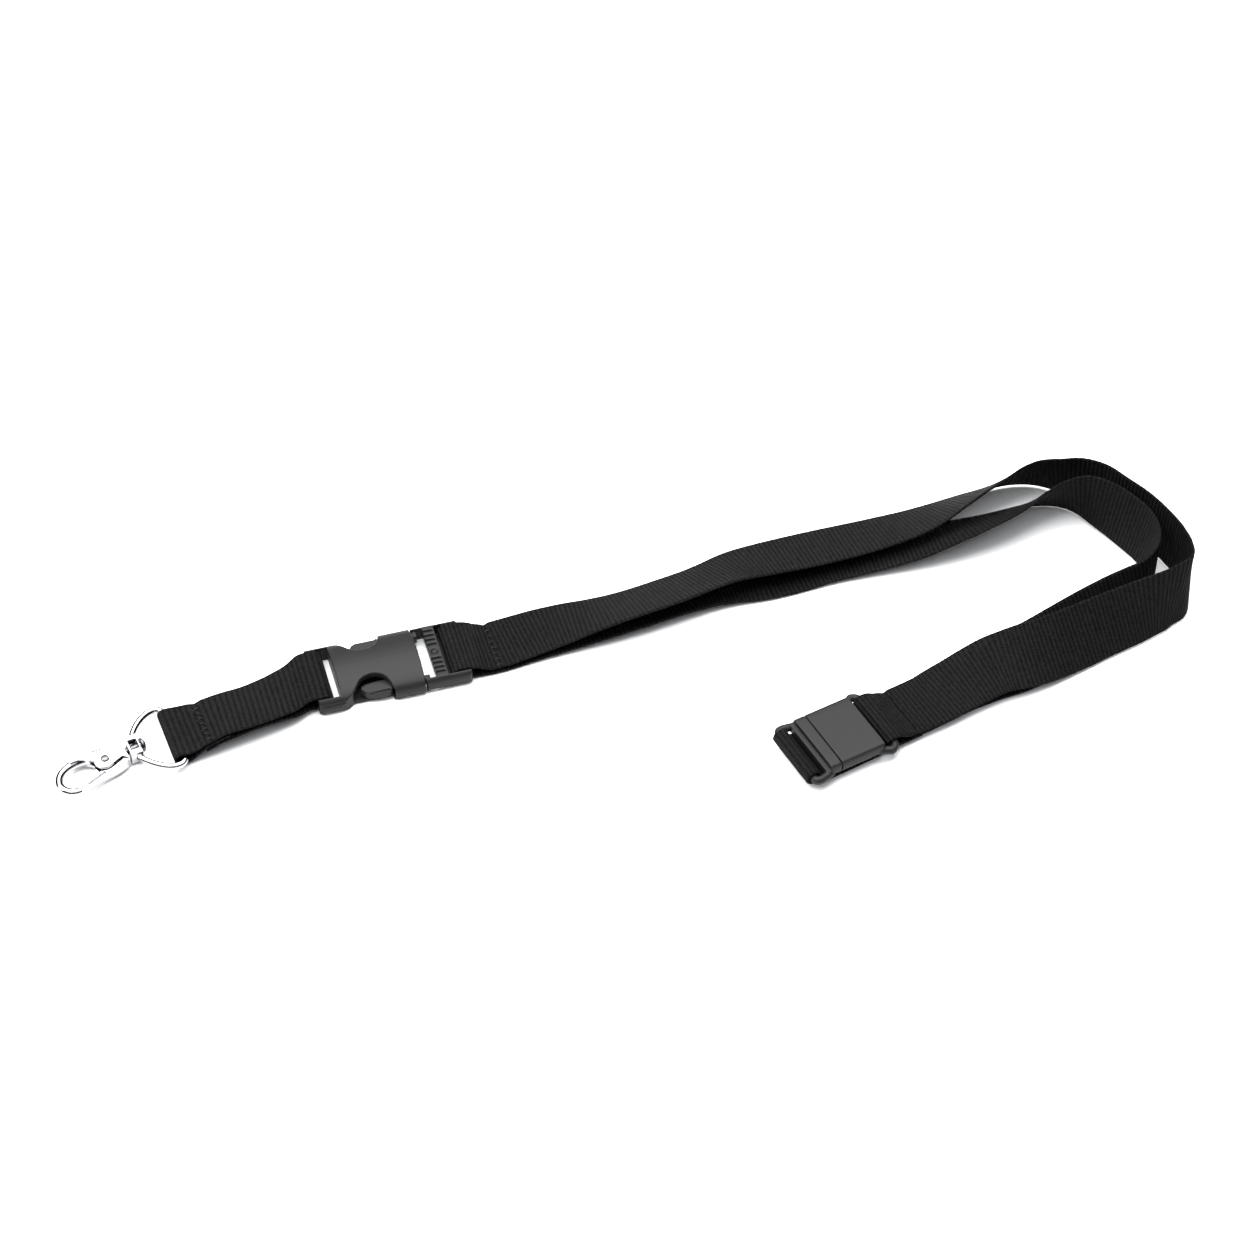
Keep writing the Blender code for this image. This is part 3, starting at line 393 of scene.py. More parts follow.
innerRoute = [
    (26.5, 0.0, 0, 0.2, 0), (33.5, 0.0, 0, 0.0, 0), (44.0, 1.2, 1, 0.0, 0), (56.0, 1.9, 3, 0.0, 0),
    (69.0, 2.2, 7, 0.0, 0), (80.0, 3.0, 9, 0.0, 0), (92.0, 4.7, 9, 0.0, 0), (104.0, 6.5, 6, 0.0, 0),
    (113.0, 6.9, 3, 0.0, 0), (122.0, 6.4, 1, 0.0, 0), (132.0, 6.8, 0, 0.0, 0), (143.0, 7.5, 2, 0.0, 0),
    (153.0, 7.3, 4, 0.0, 0), (165.0, 6.3, 9, 0.0, 0), (176.0, 5.4, 16, 0.0, 0), (187.5, 4.7, 28, 0.0, 0),
    (197.0, 5.0, 36, 0.0, 0), (204.0, 5.7, 42, 0.0, 0), (210.0, 6.6, 48, 0.0, 0), (215.5, 7.2, 56, 0.0, 0),
    (220.5, 6.8, 63, 0.0, 0), (225.5, 5.0, 74, 0.0, 0), (230.3, 1.9, 90, 0.0, 0), (234.8, -4.0, 100, 0.0, 0),
    (238.4, -11.0, 104, 0.0, 0), (240.8, -18.0, 103, 0.0, 0), (241.2, -25.2, 98, 0.0, 0),
    (239.2, -32.2, 90, 0.0, 0), (234.2, -38.0, 80, 0.0, 0), (228.0, -40.8, 69, 0.0, 0),
    (220.5, -43.1, 62, 0.0, 0), (210.5, -46.5, 55, 0.0, 0), (199.0, -50.6, 46, 0.0, 0),
    (192.5, -52.5, 38, 0.0, 0), (185.3, -53.4, 27, 0.0, 0), (176.6, -53.7, 17, 0.0, 0),
    (166.0, -55.2, 8, 0.0, 0), (157.5, -57.5, 3, 0.0, 0),
]
shortRoute = [(-66, -10.05, 0), (-62, -9.6, 6), (-56, -8.7, 10), (-46, -7.1, 10), (-38, -5.3, 8),
              (-31, -3.2, 4), (-27, -0.3, 1), (-25, 0.0, 0)]


# rows turned about z, then moved
def turnedRows(rows, turn, at):
    rows = np.asarray(rows, float)
    c, s = math.cos(turn), math.sin(turn)
    return rows @ np.array([[c, s, 0], [-s, c, 0], [0, 0, 1]]) + at


# centre height: lift plus half the width times the sine of the roll, so the low edge stays at the lift
def lying(route):
    r = np.array(route, float)
    z = r[:, 3] + halfWidth * np.sin(np.radians(r[:, 2])) + flat
    return np.column_stack([r[:, 0], r[:, 1], z, r[:, 2], r[:, 4]])


# half-width vectors: level and square to the run, tipped up by the roll, then skewed along the run
def acrossOf(rows):
    run = np.gradient(rows[:, :3], axis=0)
    level = run * [1, 1, 0]
    level /= np.linalg.norm(level, axis=1, keepdims=True)
    run /= np.linalg.norm(run, axis=1, keepdims=True)
    side = np.column_stack([level[:, 1], -level[:, 0], np.zeros(len(rows))])
    roll = np.radians(rows[:, 3])[:, None]
    half = side * np.cos(roll) + np.array([0, 0, 1.0]) * np.sin(roll)
    half -= run * (half * run).sum(1, keepdims=True)
    half /= np.linalg.norm(half, axis=1, keepdims=True)
    return (half + run * np.tan(np.radians(rows[:, 4]))[:, None]) * halfWidth


# an arc round a bar: a circle in x and z, drawn out along x by stretch
def wrap(x, z, radius, start, end, count, stretch=1.0):
    turns = np.radians(np.linspace(start, end, count))
    return [(x + radius * stretch * math.cos(a), 0, z + radius * math.sin(a)) for a in turns]


# centre line and half-widths resampled at even steps of arc length, lightly relaxed
def evened(middle, across, step):
    keep = np.r_[True, np.linalg.norm(np.diff(middle, axis=0), axis=1) > 1e-6]
    middle, across = middle[keep], across[keep]
    s = np.r_[0, np.cumsum(np.linalg.norm(np.diff(middle, axis=0), axis=1))]
    even = np.linspace(0, s[-1], max(8, round(s[-1] / step)))
    both = np.column_stack([np.interp(even, s, c) for c in np.hstack([middle, across]).T])
    for _ in range(12):
        both[1:-1] = both[1:-1] * 0.5 + (both[:-2] + both[2:]) * 0.25
    return even, both[:, :3], both[:, 3:]


# ribbed webbing along a centre line: a flat section with rounded selvedges, grooved by a power of a sine
# along its length, and drawn in and down at each seam by a bell curve
def ribbon(name, middle, across, splitAt=None, seams=(), pitch=webbing["rib"]):
    step = pitch / webbing["step"]
    s, mid, side = evened(np.asarray(middle, float), np.asarray(across, float), step)
    pinch = webbing["pinch"]
    for seam in seams:
        pull = np.exp(-(np.linalg.norm(mid - np.asarray(seam), axis=1) / pinch["reach"]) ** 2)[:, None]
        mid = mid - pull * [0, 0, pinch["dip"]]
        side = side * (1 - pinch["narrow"] * pull)
    run = np.gradient(mid, axis=0)
    normal = np.cross(side, run)
    normal /= np.linalg.norm(normal, axis=1, keepdims=True)
    count = webbing["across"]
    t = np.sin(np.linspace(-math.pi / 2, math.pi / 2, count))
    t = np.sign(t) * np.abs(t) ** 0.8
    half = webbing["thick"] / 2 * (1 - np.abs(t) ** 26) ** 0.5
    bead = np.exp(-((np.abs(t) - 0.955) / 0.03) ** 2) * webbing["selvedge"]
    k = np.arange(len(s))
    groove = np.abs(np.sin(math.pi * k / webbing["step"])) ** 0.55 - 1
    flatness = np.clip((0.965 - np.abs(t)) / 0.05, 0, 1)
    relief = groove[:, None] * webbing["ribDepth"] * flatness[None, :]
    top = half[None, :] + bead[None, :] + relief
    ring = []
    for sign, order in ((1, slice(None)), (-1, slice(count - 2, 0, -1))):
        offset = sign * normal[:, None] * top[:, order, None]
        ring.append(mid[:, None] + side[:, None] * t[None, order, None] + offset)
    u = np.r_[(t + 1) / 2, (t[count - 2:0:-1] + 1) / 2]
    verts = np.concatenate(ring, axis=1)
    around = verts.shape[1]
    v = k * webbing["rib"] / webbing["step"] / webbing["width"]

    def part(partName, low, high):
        rows = high - low
        block = verts[low:high].reshape(-1, 3) * mm
        i, j = np.meshgrid(np.arange(rows - 1), np.arange(around), indexing="ij")
        nextJ = (j + 1) % around
        here, beyond = i * around, (i + 1) * around
        quads = np.stack([here + j, beyond + j, beyond + nextJ, here + nextJ], -1)
        uv = np.stack([np.stack([u[c], v[low + r]], -1) for r, c in
                       ((i, j), (i + 1, j), (i + 1, nextJ), (i, nextJ))], 2)
        obj = meshFrom(partName, block, quads.reshape(-1, 4), uv.reshape(-1, 2))
        bm = bmesh.new()
        bm.from_mesh(obj.data)
        bm.verts.ensure_lookup_table()
        for start in (0, (rows - 1) * around):
            loop = [bm.verts[start + q] for q in range(around)]
            bm.faces.new(loop if start else loop[::-1])
        bmesh.ops.recalc_face_normals(bm, faces=bm.faces)
        bm.to_mesh(obj.data)
        bm.free()
        return obj

    if splitAt is None:
        return part(name, 0, len(s)), s[-1]
    cut = int(len(s) * splitAt)
    return part(name + "A", 0, cut), part(name + "B", cut - 1, len(s)), s[cut], s[-1] - s[cut]


# the neck strap's two strands
def outerStrand():
    radius = barR + gap + webbing["thick"] / 2
    start = np.array(wrap(plugBarX, barZ, radius, 262, 90, 40, webbing["plugStretch"]))
    rows = smoothRows(lying(outerRoute), 1.0)
    tailR = breakBarR + gap + webbing["thick"] / 2
    high, low = flat + 2 * layer, flat + layer
    section = smoothRows([(29, 0, high), (25, 0, high), (20, 0, high + 0.9), (17.2, 0, breakBarZ + 1.9)], 1)
    section = np.vstack([section, wrap(breakBars[1], breakBarZ, tailR, 70, 270, 40),
                         [(17.5, 0, low), (21, 0, low), (25, 0, low)]])
    end = turnedRows(section, breakTurn, breakAt)
    side = np.array([-math.sin(breakTurn), math.cos(breakTurn), 0]) * halfWidth
    across = np.vstack([np.tile([0, -halfWidth, 0], (len(start), 1)), acrossOf(rows),
                        np.tile(side, (len(end), 1))])
    return np.vstack([start, rows[:, :3], end]), across


def innerStrand():
    rows = smoothRows(lying(innerRoute), 1.0)
    first = np.array([[plugBarX, 0, barZ - barR - gap - webbing["thick"] / 2]])
    radius = breakBarR + gap + webbing["thick"] / 2
    low, high = flat, flat + layer
    section = [(30.0, 0, low), (26.0, 0, low), (18.0, 0, low), (8.0, 0, low), (-4.0, 0, low),
               (-10.0, 0, low + 0.1), (-12.4, 0, low + 0.8)]
    section += wrap(breakBars[0], breakBarZ, radius, 270, 0, 40)
    section += [(-11.3, 0, 3.2), (-10.9, 0, high + 0.45), (-10.0, 0, high + 0.05), (-6.0, 0, high),
                (0.0, 0, high)]
    section = np.array(section, float)
    section[:, 1] = underOffset * np.clip((section[:, 0] - 4) / 20, 0, 1)
    end = turnedRows(section, breakTurn, breakAt)
    side = np.array([-math.sin(breakTurn), math.cos(breakTurn), 0]) * halfWidth
    across = np.vstack([[[0, -halfWidth, 0]], acrossOf(rows), np.tile(side, (len(end), 1))])
    return np.vstack([first, rows[:, :3], end]), across


breakSeam = turnedRows([[23.0, 0, flat + 2 * layer + 0.4]], breakTurn, breakAt)[0]
outer, outerLength = ribbon("neckStrapOuter", *outerStrand(), seams=[(33.0, 0.1, 2.1), breakSeam])
dress(outer, webMaterial, "neck_strap", ["neck_strap_outer"])
outerLength * mm
innerA, innerB, lengthA, lengthB = ribbon("neckStrapInner", *innerStrand(), splitAt=webbing["innerSplit"])
dress(innerA, webMaterial, "neck_strap", ["neck_strap_inner"])
lengthA * mm
innerB.data.materials.append(webMaterial)
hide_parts("neck_strap_plug_end")
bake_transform(innerB)
lengthB * mm
print("stage: neck strap", round(outerLength), round(lengthA), round(lengthB))


# the short strap between the side-release buckle and the D-loop
# its section laid on its route, with its half-width vectors turned and rolled
def shortSpots(section):
    table = np.array(shortRoute, float)
    x = section[:, 0]
    y = np.interp(x, table[:, 0], table[:, 1])
    roll = np.radians(np.interp(x, table[:, 0], table[:, 2]))
    turn = foldTurn * np.clip((-50 - x) / 12, 0, 1)
    level = np.cos(roll)
    side = np.column_stack([np.sin(turn) * level, -np.cos(turn) * level, np.sin(roll)]) * halfWidth
    return np.column_stack([x, y, section[:, 2] + halfWidth * np.sin(roll)]), side


def shortStrand():
    radius = barR + gap + webbing["thick"] / 2
    ringX = ringAt[0] + ringDepth * math.cos(ringTurn)
    foldR = ringR + gap + webbing["thick"] / 2 + 0.15
    low = smoothRows([(-61.5, 0, 1.15), (-52, 0, 1.7), (-44, 0, 2.3), (-36, 0, 2.2), (-29, 0, 1.6),
                      (-25, 0, 1.35)], 1)
    top = smoothRows([(-26.5, 0, 5.5), (-33, 0, 4.7), (-40, 0, 4.0), (-46, 0, 3.9), (-52, 0, 4.4),
                      (-57, 0, 4.25), (-61, 0, 4.05), (-66, 0, ringAt[2] + 1.8)], 1)
    tail = smoothRows([(-67.2, 0, 0.85), (-64.6, 0, 1.8), (-62.4, 0, 2.45), (-53, 0, 3.0)], 1)
    bar = wrap(socketBarX, barZ, radius, -100, 100, 40, webbing["socketStretch"])
    fold = wrap(ringX - 0.2, ringAt[2], foldR, 95, 265, 30)
    return shortSpots(np.vstack([low, bar, top, fold, tail]))


shortTop, shortSide = shortSpots(np.array([[-60.0, 0, 4.1]]))
short, shortLength = ribbon("shortStrap", *shortStrand(), seams=[shortTop[0]], pitch=webbing["shortRib"])
dress(short, webMaterial, "short_strap", ["short_strap"])
shortLength * mm
print("stage: short strap", round(shortLength))


# stitches: round threads that follow a sine arch, with their ends in the webbing
# each row holds a stitch's start, end and surface normal; every second one is thicker and near-black, a
# painted shadow of its stitch hole
stitch = {"radius": 0.24, "shadowStitchRadius": 0.36, "arch": 0.3}  # mm


def stitches(name, rows, material, body, node):
    verts, faces = [], []
    t = np.linspace(0, 1, 9)
    ring = np.linspace(0, math.tau, 9)[:-1]
    for start, end, up in rows:
        start, end, up = (np.array(q, float) for q in (start, end, up))
        run = end - start
        across = np.cross(up, run / np.linalg.norm(run))
        arch = stitch["arch"] * np.sin(math.pi * t) ** 0.6 - stitch["arch"]
        thick = stitch["shadowStitchRadius"] if len(verts) % 2 else stitch["radius"]
        radius = thick * (0.75 + 0.25 * np.sin(math.pi * t))
        centre = start + run * t[:, None] + up * arch[:, None]
        disc = across * np.cos(ring)[:, None] + up * np.sin(ring)[:, None]
        block = centre[:, None] + radius[:, None, None] * disc[None]
        base = len(verts) * 72
        verts.append(block.reshape(-1, 3))
        i, j = np.meshgrid(np.arange(8), np.arange(8), indexing="ij")
        n = (j + 1) % 8
        quads = np.stack([i * 8 + j, i * 8 + n, (i + 1) * 8 + n, (i + 1) * 8 + j], -1)
        faces.append(base + quads.reshape(-1, 4))
    obj = meshFrom(name, np.vstack(verts) * mm, np.vstack(faces))
    dress(obj, material, body, [node])
    obj.data.materials.append(holeShadowMaterial)
    # every second stitch takes the near-black painted hole shadow
    holeShadowed = np.repeat(np.arange(len(rows)) % 2, 64)
    obj.data.polygons.foreach_set("material_index", holeShadowed.astype(np.int32))


# stitches that swing left and right while they step across the strap
def zigzag(centre, turn, roll, count, half, swing):
    spot = Matrix.Rotation(turn, 3, "Z") @ Matrix.Rotation(-roll, 3, "X")
    points = []
    for k in range(count + 1):
        step = swing * (1 if (k + 1) // 2 % 2 else -1)
        y = half * (2 * (k // 2 * 2 + 0.35 * (k % 2)) / count - 1)
        points.append(np.array(centre) + np.array(spot @ Vector((step, y, 0))))
    up = spot @ Vector((0, 0, 1))
    return [(a + (b - a) * 0.06, b - (b - a) * 0.06, up) for a, b in zip(points, points[1:])]


rise = webbing["thick"] / 2 - 0.02
ringRoll = math.asin(shortSide[0][2] / halfWidth)
stitches("ringStitches", zigzag(shortTop[0] + [0, 0, rise], foldTurn, ringRoll, 14, 8.6, 1.0),
         threadMaterial, "short_strap", "ring_seam")
stitches("buckleStitches", zigzag((33.0, 0, flat + layer + rise + 0.15), 0, 0, 14, 8.6, 1.0),
         threadMaterial, "neck_strap", "buckle_seam")
for word, x, lift in (("inner", 22.0, 0.55), ("outer", 24.0, 0.25)):
    spot = turnedRows([[x, 0, flat + 2 * layer + rise + lift - 0.15]], breakTurn, breakAt)[0]
    stitches("socketStitches" + word.title(), zigzag(spot, breakTurn, 0, 11, 8.8, 0.12), threadMaterial,
             "neck_strap", "socket_seam_" + word)
print("stage: stitches")


# side-release buckle
buckle = {
    "half": 12.4, "high": 7.4,                         # half width and height, mm
    "left": -24.3, "slot": -17.0, "mouth": 9.0,        # socket: its end, strap slot and mouth along x
    "cavity": (1.2, 4.75), "cavityHalf": 10.0,         # heights and half width of the cavity
    "ear": 10.35,                                      # half width between the ears at a bar
    "voxel": 0.2, "prongVoxel": 0.15,
}


# the socket's cross-section: half an arch, mirrored
def domeSection(top):
    half = smoothRows([(11.3, 0, 0), (12.1, 0.8, 0), (12.4, 2.0, 0), (12.2, 3.4, 0), (11.6, 4.6, 0),
                       (10.6, 5.45, 0), (8.5, 6.3, 0), (5.5, 6.95, 0), (2.5, top - 0.1, 0),
                       (0.0, top, 0)], 0.5)[:, :2]
    half[:, 1] = np.maximum(half[:, 1], 0)
    return [tuple(p) for p in half] + [(-y, z) for y, z in half[-2::-1]]


# the socket's outline from above: round corner, thumb scallop and bowed mouth, mirrored
def socketPlan():
    left = arcPoints((buckle["left"] + 2.2, buckle["half"] - 2.2), 2.2, 180, 90, 12)
    scallop = smoothRows([(-17.5, 12.4, 0), (-15.2, 11.6, 0), (-13.4, 10.3, 0), (-11.9, 8.5, 0),
                          (-10.4, 6.6, 0), (-8.4, 5.5, 0), (-6.2, 5.2, 0), (-4.0, 5.8, 0), (-2.3, 7.3, 0),
                          (-1.2, 9.6, 0), (-0.8, 11.6, 0), (0.2, 12.4, 0)], 0.4)[:, :2]
    shares = [k / 8 for k in range(8, -1, -1)]
    mouth = [(buckle["mouth"] + 0.4 * (1 - share ** 2), buckle["half"] * share) for share in shares]
    half = left + [tuple(p) for p in scallop] + mouth
    return half + [(x, -y) for x, y in half[-2::-1]]


# the socket's shell, cut by its arch, strap slot, cavity and side windows
def socketPiece():
    base = prism(socketPlan(), -1, buckle["high"] + 1)
    low, high = buckle["cavity"]
    ear = buckle["ear"]
    steps = [("INTERSECT", prism(domeSection(buckle["high"]), -far, far, "x")),
             ("DIFFERENCE", box((buckle["left"] - far, -ear, -far), (buckle["slot"], ear, far))),
             ("DIFFERENCE", box((-14.5, -buckle["cavityHalf"], low), (far, buckle["cavityHalf"], high))),
             ("DIFFERENCE", box((-12.3, -far, low), (-0.4, far, high)))]
    for side in (-1, 1):
        steps.append(("DIFFERENCE", box((-far, side * 12.6 - 0.9, 3.3), (-14.5, side * 12.6 + 0.9, 3.85))))
    end = ear + 0.6
    steps += [("UNION", box((-13.0, -10.1, 0.1), (0.0, 10.1, low))),
              ("UNION", rod(barR, (socketBarX, -end, barZ), (socketBarX, end, barZ)))]
    return moulded("buckleSocket", base, steps, buckle["voxel"], 5)


# the plug's frame, ladder bar, end bar, rails into the socket and guide tongue
def plugPiece():
    ear, rail = buckle["ear"], buckle["cavityHalf"] - gap
    plan = arcPoints((10.4, 10.9), 1.0, 180, 90, 6) + arcPoints((24.0 - 1.4, 10.5), 1.4, 90, 0, 8)
    plan += [(x, -y) for x, y in reversed(plan)]
    section = smoothRows([(10.9, 0.3, 0), (11.6, 0.9, 0), (11.9, 2.2, 0), (11.8, 3.6, 0), (11.3, 4.7, 0),
                          (10.4, 5.3, 0), (8.0, 5.6, 0), (0.0, 5.8, 0)], 0.4)[:, :2]
    section = [tuple(p) for p in section] + [(-y, z) for y, z in section[-2::-1]]
    base = prism(plan, -1, 8)
    steps = [("INTERSECT", prism(section, -far, far, "x")),
             ("DIFFERENCE", box((8, -ear, -far), (far, ear, far))),
             ("UNION", box((13.0, -ear - 0.6, 2.4), (16.7, ear + 0.6, 5.3))),
             # a low ledge beside the ladder bar under the strap slot, put in as painted shade: dark plastic
             # fills the slot so no floor shows through
             ("UNION", box((16.0, -ear - 0.4, 0.3), (19.0, ear + 0.4, 1.2)))]
    for side in (-1, 1):
        for k in range(4):
            y = side * (3.0 + k * 1.9)
            steps.append(("DIFFERENCE", box((12.0, y - 0.4, 4.55), (16.1, y + 0.4, far))))
        low, high = sorted((side * (rail - 1.5), side * rail))
        steps.append(("UNION", box((7.0, low, 1.5), (10.8, high, 4.45))))
        low, high = sorted((side * (rail - 1.5), side * (ear + 0.5)))
        steps.append(("UNION", box((9.8, low, 1.5), (11.1, high, 4.45))))
    steps += [("DIFFERENCE", ball((14.6, 0, 6.1), 1.5)),
              ("UNION", box((7.0, -rail + 0.2, 1.6), (8.7, rail - 0.2, 4.35))),
              ("UNION", box((-12.0, -2.2, 1.8), (7.7, 2.2, 4.15))),
              ("UNION", rod(barR, (plugBarX, -ear - 0.6, barZ), (plugBarX, ear + 0.6, barZ)))]
    return moulded("bucklePlug", base, steps, buckle["voxel"], 4)


# a sprung arm with its side barb; side is 1 for the back and -1 for the front
def prongPiece(name, side):
    outline = [(6.7, 6.6), (6.7, 8.5), (2.5, 8.7), (-0.9, 8.8), (-1.1, 10.6), (-2.0, 11.1), (-4.6, 11.25),
               (-7.4, 10.9), (-9.4, 10.0), (-10.5, 8.7), (-10.4, 7.6), (-9.0, 6.9), (-5.0, 6.5)]
    base = prism([(x, side * y) for x, y in outline], 1.5, 4.45)
    low, high = sorted((side * 10.5, side * 12.5))
    steps = [("DIFFERENCE", box((-9.2, low, 3.6), (-1.8, high, 5.0)))]
    return moulded(name, base, steps, buckle["prongVoxel"], 5)


dress(socketPiece(), plasticMaterial, "socket", ["buckle_socket"])
dress(plugPiece(), plasticMaterial, "neck_strap", ["buckle_plug_frame"])
dress(prongPiece("prongBack", 1), plasticMaterial, "prong_back", ["buckle_prong_back"])
dress(prongPiece("prongFront", -1), plasticMaterial, "prong_front", ["buckle_prong_front"])
print("stage: side-release buckle")

# breakaway buckle, in its own frame and then set in place
clasp = {
    "low": 2.65, "high": 7.25, "half": 11.4,           # heights of the body and its half width, mm
    "seam": -4.45,                                     # where the two halves meet, along x
    "wall": 1.2, "slip": 0.3,                          # wall over the cavity, room round the tongue
    "voxel": 0.2, "legVoxel": 0.15,
}


# outline of one half from above, with a clipped corner at its outer end
def claspPlan(start, end):
    sign = 1 if end > start else -1
    half = [(start, clasp["half"]), (end - sign * 1.0, clasp["half"]), (end, clasp["half"] - 0.8)]
    return half + [(x, -y) for x, y in reversed(half)]


# a strap loop: out of the body's side, round a soft corner and along the bar, then mirrored
def loopPath(edge, barX, swell):
    sign = 1 if barX > edge else -1
    out = 11.25
    half = [(edge - sign * 1.2, out - 0.9), (edge + sign * 0.4, out - 0.3), (edge + sign * 2.0, out + swell),
            (barX - sign * 1.9, out + swell + 0.2), (barX - sign * 0.5, out - 0.1), (barX, out - 1.6),
            (barX, 6.0)]
    half = smoothRows([(x, y, breakBarZ) for x, y in half], 0.3)
    return np.vstack([half, (half * [1, -1, 1])[::-1]])


# one half's body with its strap loop; ledge is where its top steps down
def claspPiece(name, plan, edge, barX, extra, swell, ledge=None):
    low, high = clasp["low"], clasp["high"]
    section = smoothRows([(10.3, low, 0), (10.9, low + 0.5, 0), (11.3, low + 1.6, 0), (11.3, 5.4, 0),
                          (11.0, 6.5, 0), (10.2, 7.1, 0), (6.0, high, 0), (0.0, high, 0)], 0.4)[:, :2]
    section = [tuple(p) for p in section] + [(-y, z) for y, z in section[-2::-1]]
    base = prism(plan, low - 1, high + 1)
    steps = [("INTERSECT", prism(section, -far, far, "x"))] + extra
    if ledge:
        steps.append(("DIFFERENCE", box((-far, -far, 5.5), (ledge, far, far))))
    steps.append(("UNION", tube(loopPath(edge, barX, swell), breakBarR - 0.1)))
    return moulded(name, base, steps, clasp["voxel"], 4, breakTurn, breakAt)


innerLow, innerHigh = clasp["low"] + clasp["wall"], clasp["high"] - clasp["wall"]
tongueLow, tongueHigh = innerLow + clasp["slip"], innerHigh - clasp["slip"]
cavity = [("DIFFERENCE", box((clasp["seam"] - 2, -9.1, innerLow), (8.3, 9.1, innerHigh)))]
tongue = [("UNION", box((clasp["seam"] - 1, -2.6, tongueLow), (6.0, 2.6, tongueHigh)))]
dress(claspPiece("breakSocket", claspPlan(clasp["seam"] + 0.15, 10.9), 10.4, breakBars[1], cavity, 0.5),
      plasticMaterial, "neck_strap", ["breakaway_socket"])
dress(claspPiece("breakPlug", claspPlan(clasp["seam"] - 0.15, -9.6), -8.8, breakBars[0], tongue, 0.0, -8.2),
      plasticMaterial, "breakaway", ["breakaway_plug"])
for side, word in ((1, "back"), (-1, "front")):
    legPlan = [(-4.1, 5.0), (-4.1, 6.8), (3.0, 7.0), (4.2, 8.5), (5.6, 8.5), (7.4, 7.0), (7.4, 5.8),
               (6.6, 5.0)]
    base = prism([(x, side * y) for x, y in legPlan], tongueLow, tongueHigh)
    leg = moulded("breakLeg" + word.title(), base, [], clasp["legVoxel"], 3, breakTurn, breakAt)
    dress(leg, plasticMaterial, "breakaway", ["breakaway_leg_" + word])
print("stage: breakaway buckle")


# D-loop, swivel rivet and trigger hook
# sizes of the voxels that each metal piece is remeshed with, in mm
metalVoxel = {"ring": 0.16, "rivet": 0.12, "hook": 0.13, "lever": 0.11, "pin": 0.08, "spring": 0.06}


# a wire D with a bored boss for the rivet and a window over its shank
def ringPiece():
    half = [(0.0, 0.0), (0.0, 5.0), (0.0, 10.0), (-0.35, 11.1), (-1.6, 11.95), (-3.8, 11.85), (-6.1, 10.75),
            (-8.5, 8.8), (-10.4, 6.6), (-11.9, 4.2), (-12.6, 1.8)]
    whole = half + [(x, -y) for x, y in reversed(half[1:])]
    ring = closedSmooth([(x + ringDepth, y) for x, y in whole], 0.4)
    base = tube([(x, y, 0) for x, y in ring], ringR, closed=True)
    turn = hookTurn - ringTurn
    reach = (8 * math.cos(turn), 8 * math.sin(turn), 0)
    steps = [("UNION", box((-2.0, -4.0, -2.2), (2.0, 4.0, 2.2))),
             ("DIFFERENCE", rod(1.6, [-c for c in reach], reach)),
             ("DIFFERENCE", box((-1.1, -1.9, 0), (1.3, 1.9, 9)))]
    return moulded("ringLoop", base, steps, metalVoxel["ring"], 4, ringTurn, ringAt)


# shank and peened head
def rivetPiece():
    base = rod(1.1, (-4.3, 0, 0), (3.2, 0, 0))
    steps = [("UNION", rod(2.2, (2.5, 0, 0), (3.1, 0, 0))),
             ("UNION", rod(2.2, (3.1, 0, 0), (3.8, 0, 0), endRadius=1.2))]
    return moulded("swivelRivet", base, steps, metalVoxel["rivet"], 4, hookTurn, ringAt)


hookPivot = (-9.65, -0.7)  # the lever's pin, in the hook's own frame


# a flat cheek round the pin, a tapered round claw, and the lever's slot
def hookPiece():
    px, py = hookPivot
    outline = [(-2.75, 3.6), (-6.0, 3.9), (-10.0, 4.45), (-13.5, 4.85), (-16.5, 4.95), (-19.0, 4.6),
               (-19.4, 3.0), (-17.0, 2.9), (-15.0, 2.3), (-13.6, 1.0)]
    outline += arcPoints(hookPivot, 3.5, 165, 262, 16) + [(-4.6, -2.3), (-3.6, -3.6), (-2.75, -3.9)]
    claw = smoothRows([(-9.0, 2.9, 0, 1.5), (-12.0, 3.3, 0, 1.5), (-15.0, 3.7, 0, 1.4), (-18.0, 3.6, 0, 1.2),
                       (-20.7, 3.0, 0, 1.05), (-22.9, 1.9, 0, 1), (-24.5, 0.2, 0, 1), (-25.3, -2.0, 0, 1),
                       (-24.9, -4.3, 0, 1), (-23.5, -6.1, 0, 1), (-21.8, -6.9, 0, 0.95),
                       (-20.4, -7.1, 0, 0.85)], 0.4)  # x, y, z and taper
    base = prism(outline, -1.9, 1.9)
    steps = [("UNION", tube(claw[:, :3], 1.3, taper=claw[:, 3])),
             ("DIFFERENCE", rod(1.0, (px, py, -9), (px, py, 9))),
             ("DIFFERENCE", box((-16, -9, -1.0), (-4.6, 1.6, 1.0))),
             ("DIFFERENCE", rod(1.4, (-1.0, 0, 0), (-4.8, 0, 0)))]
    return moulded("hookBody", base, steps, metalVoxel["hook"], 16, hookTurn, ringAt)


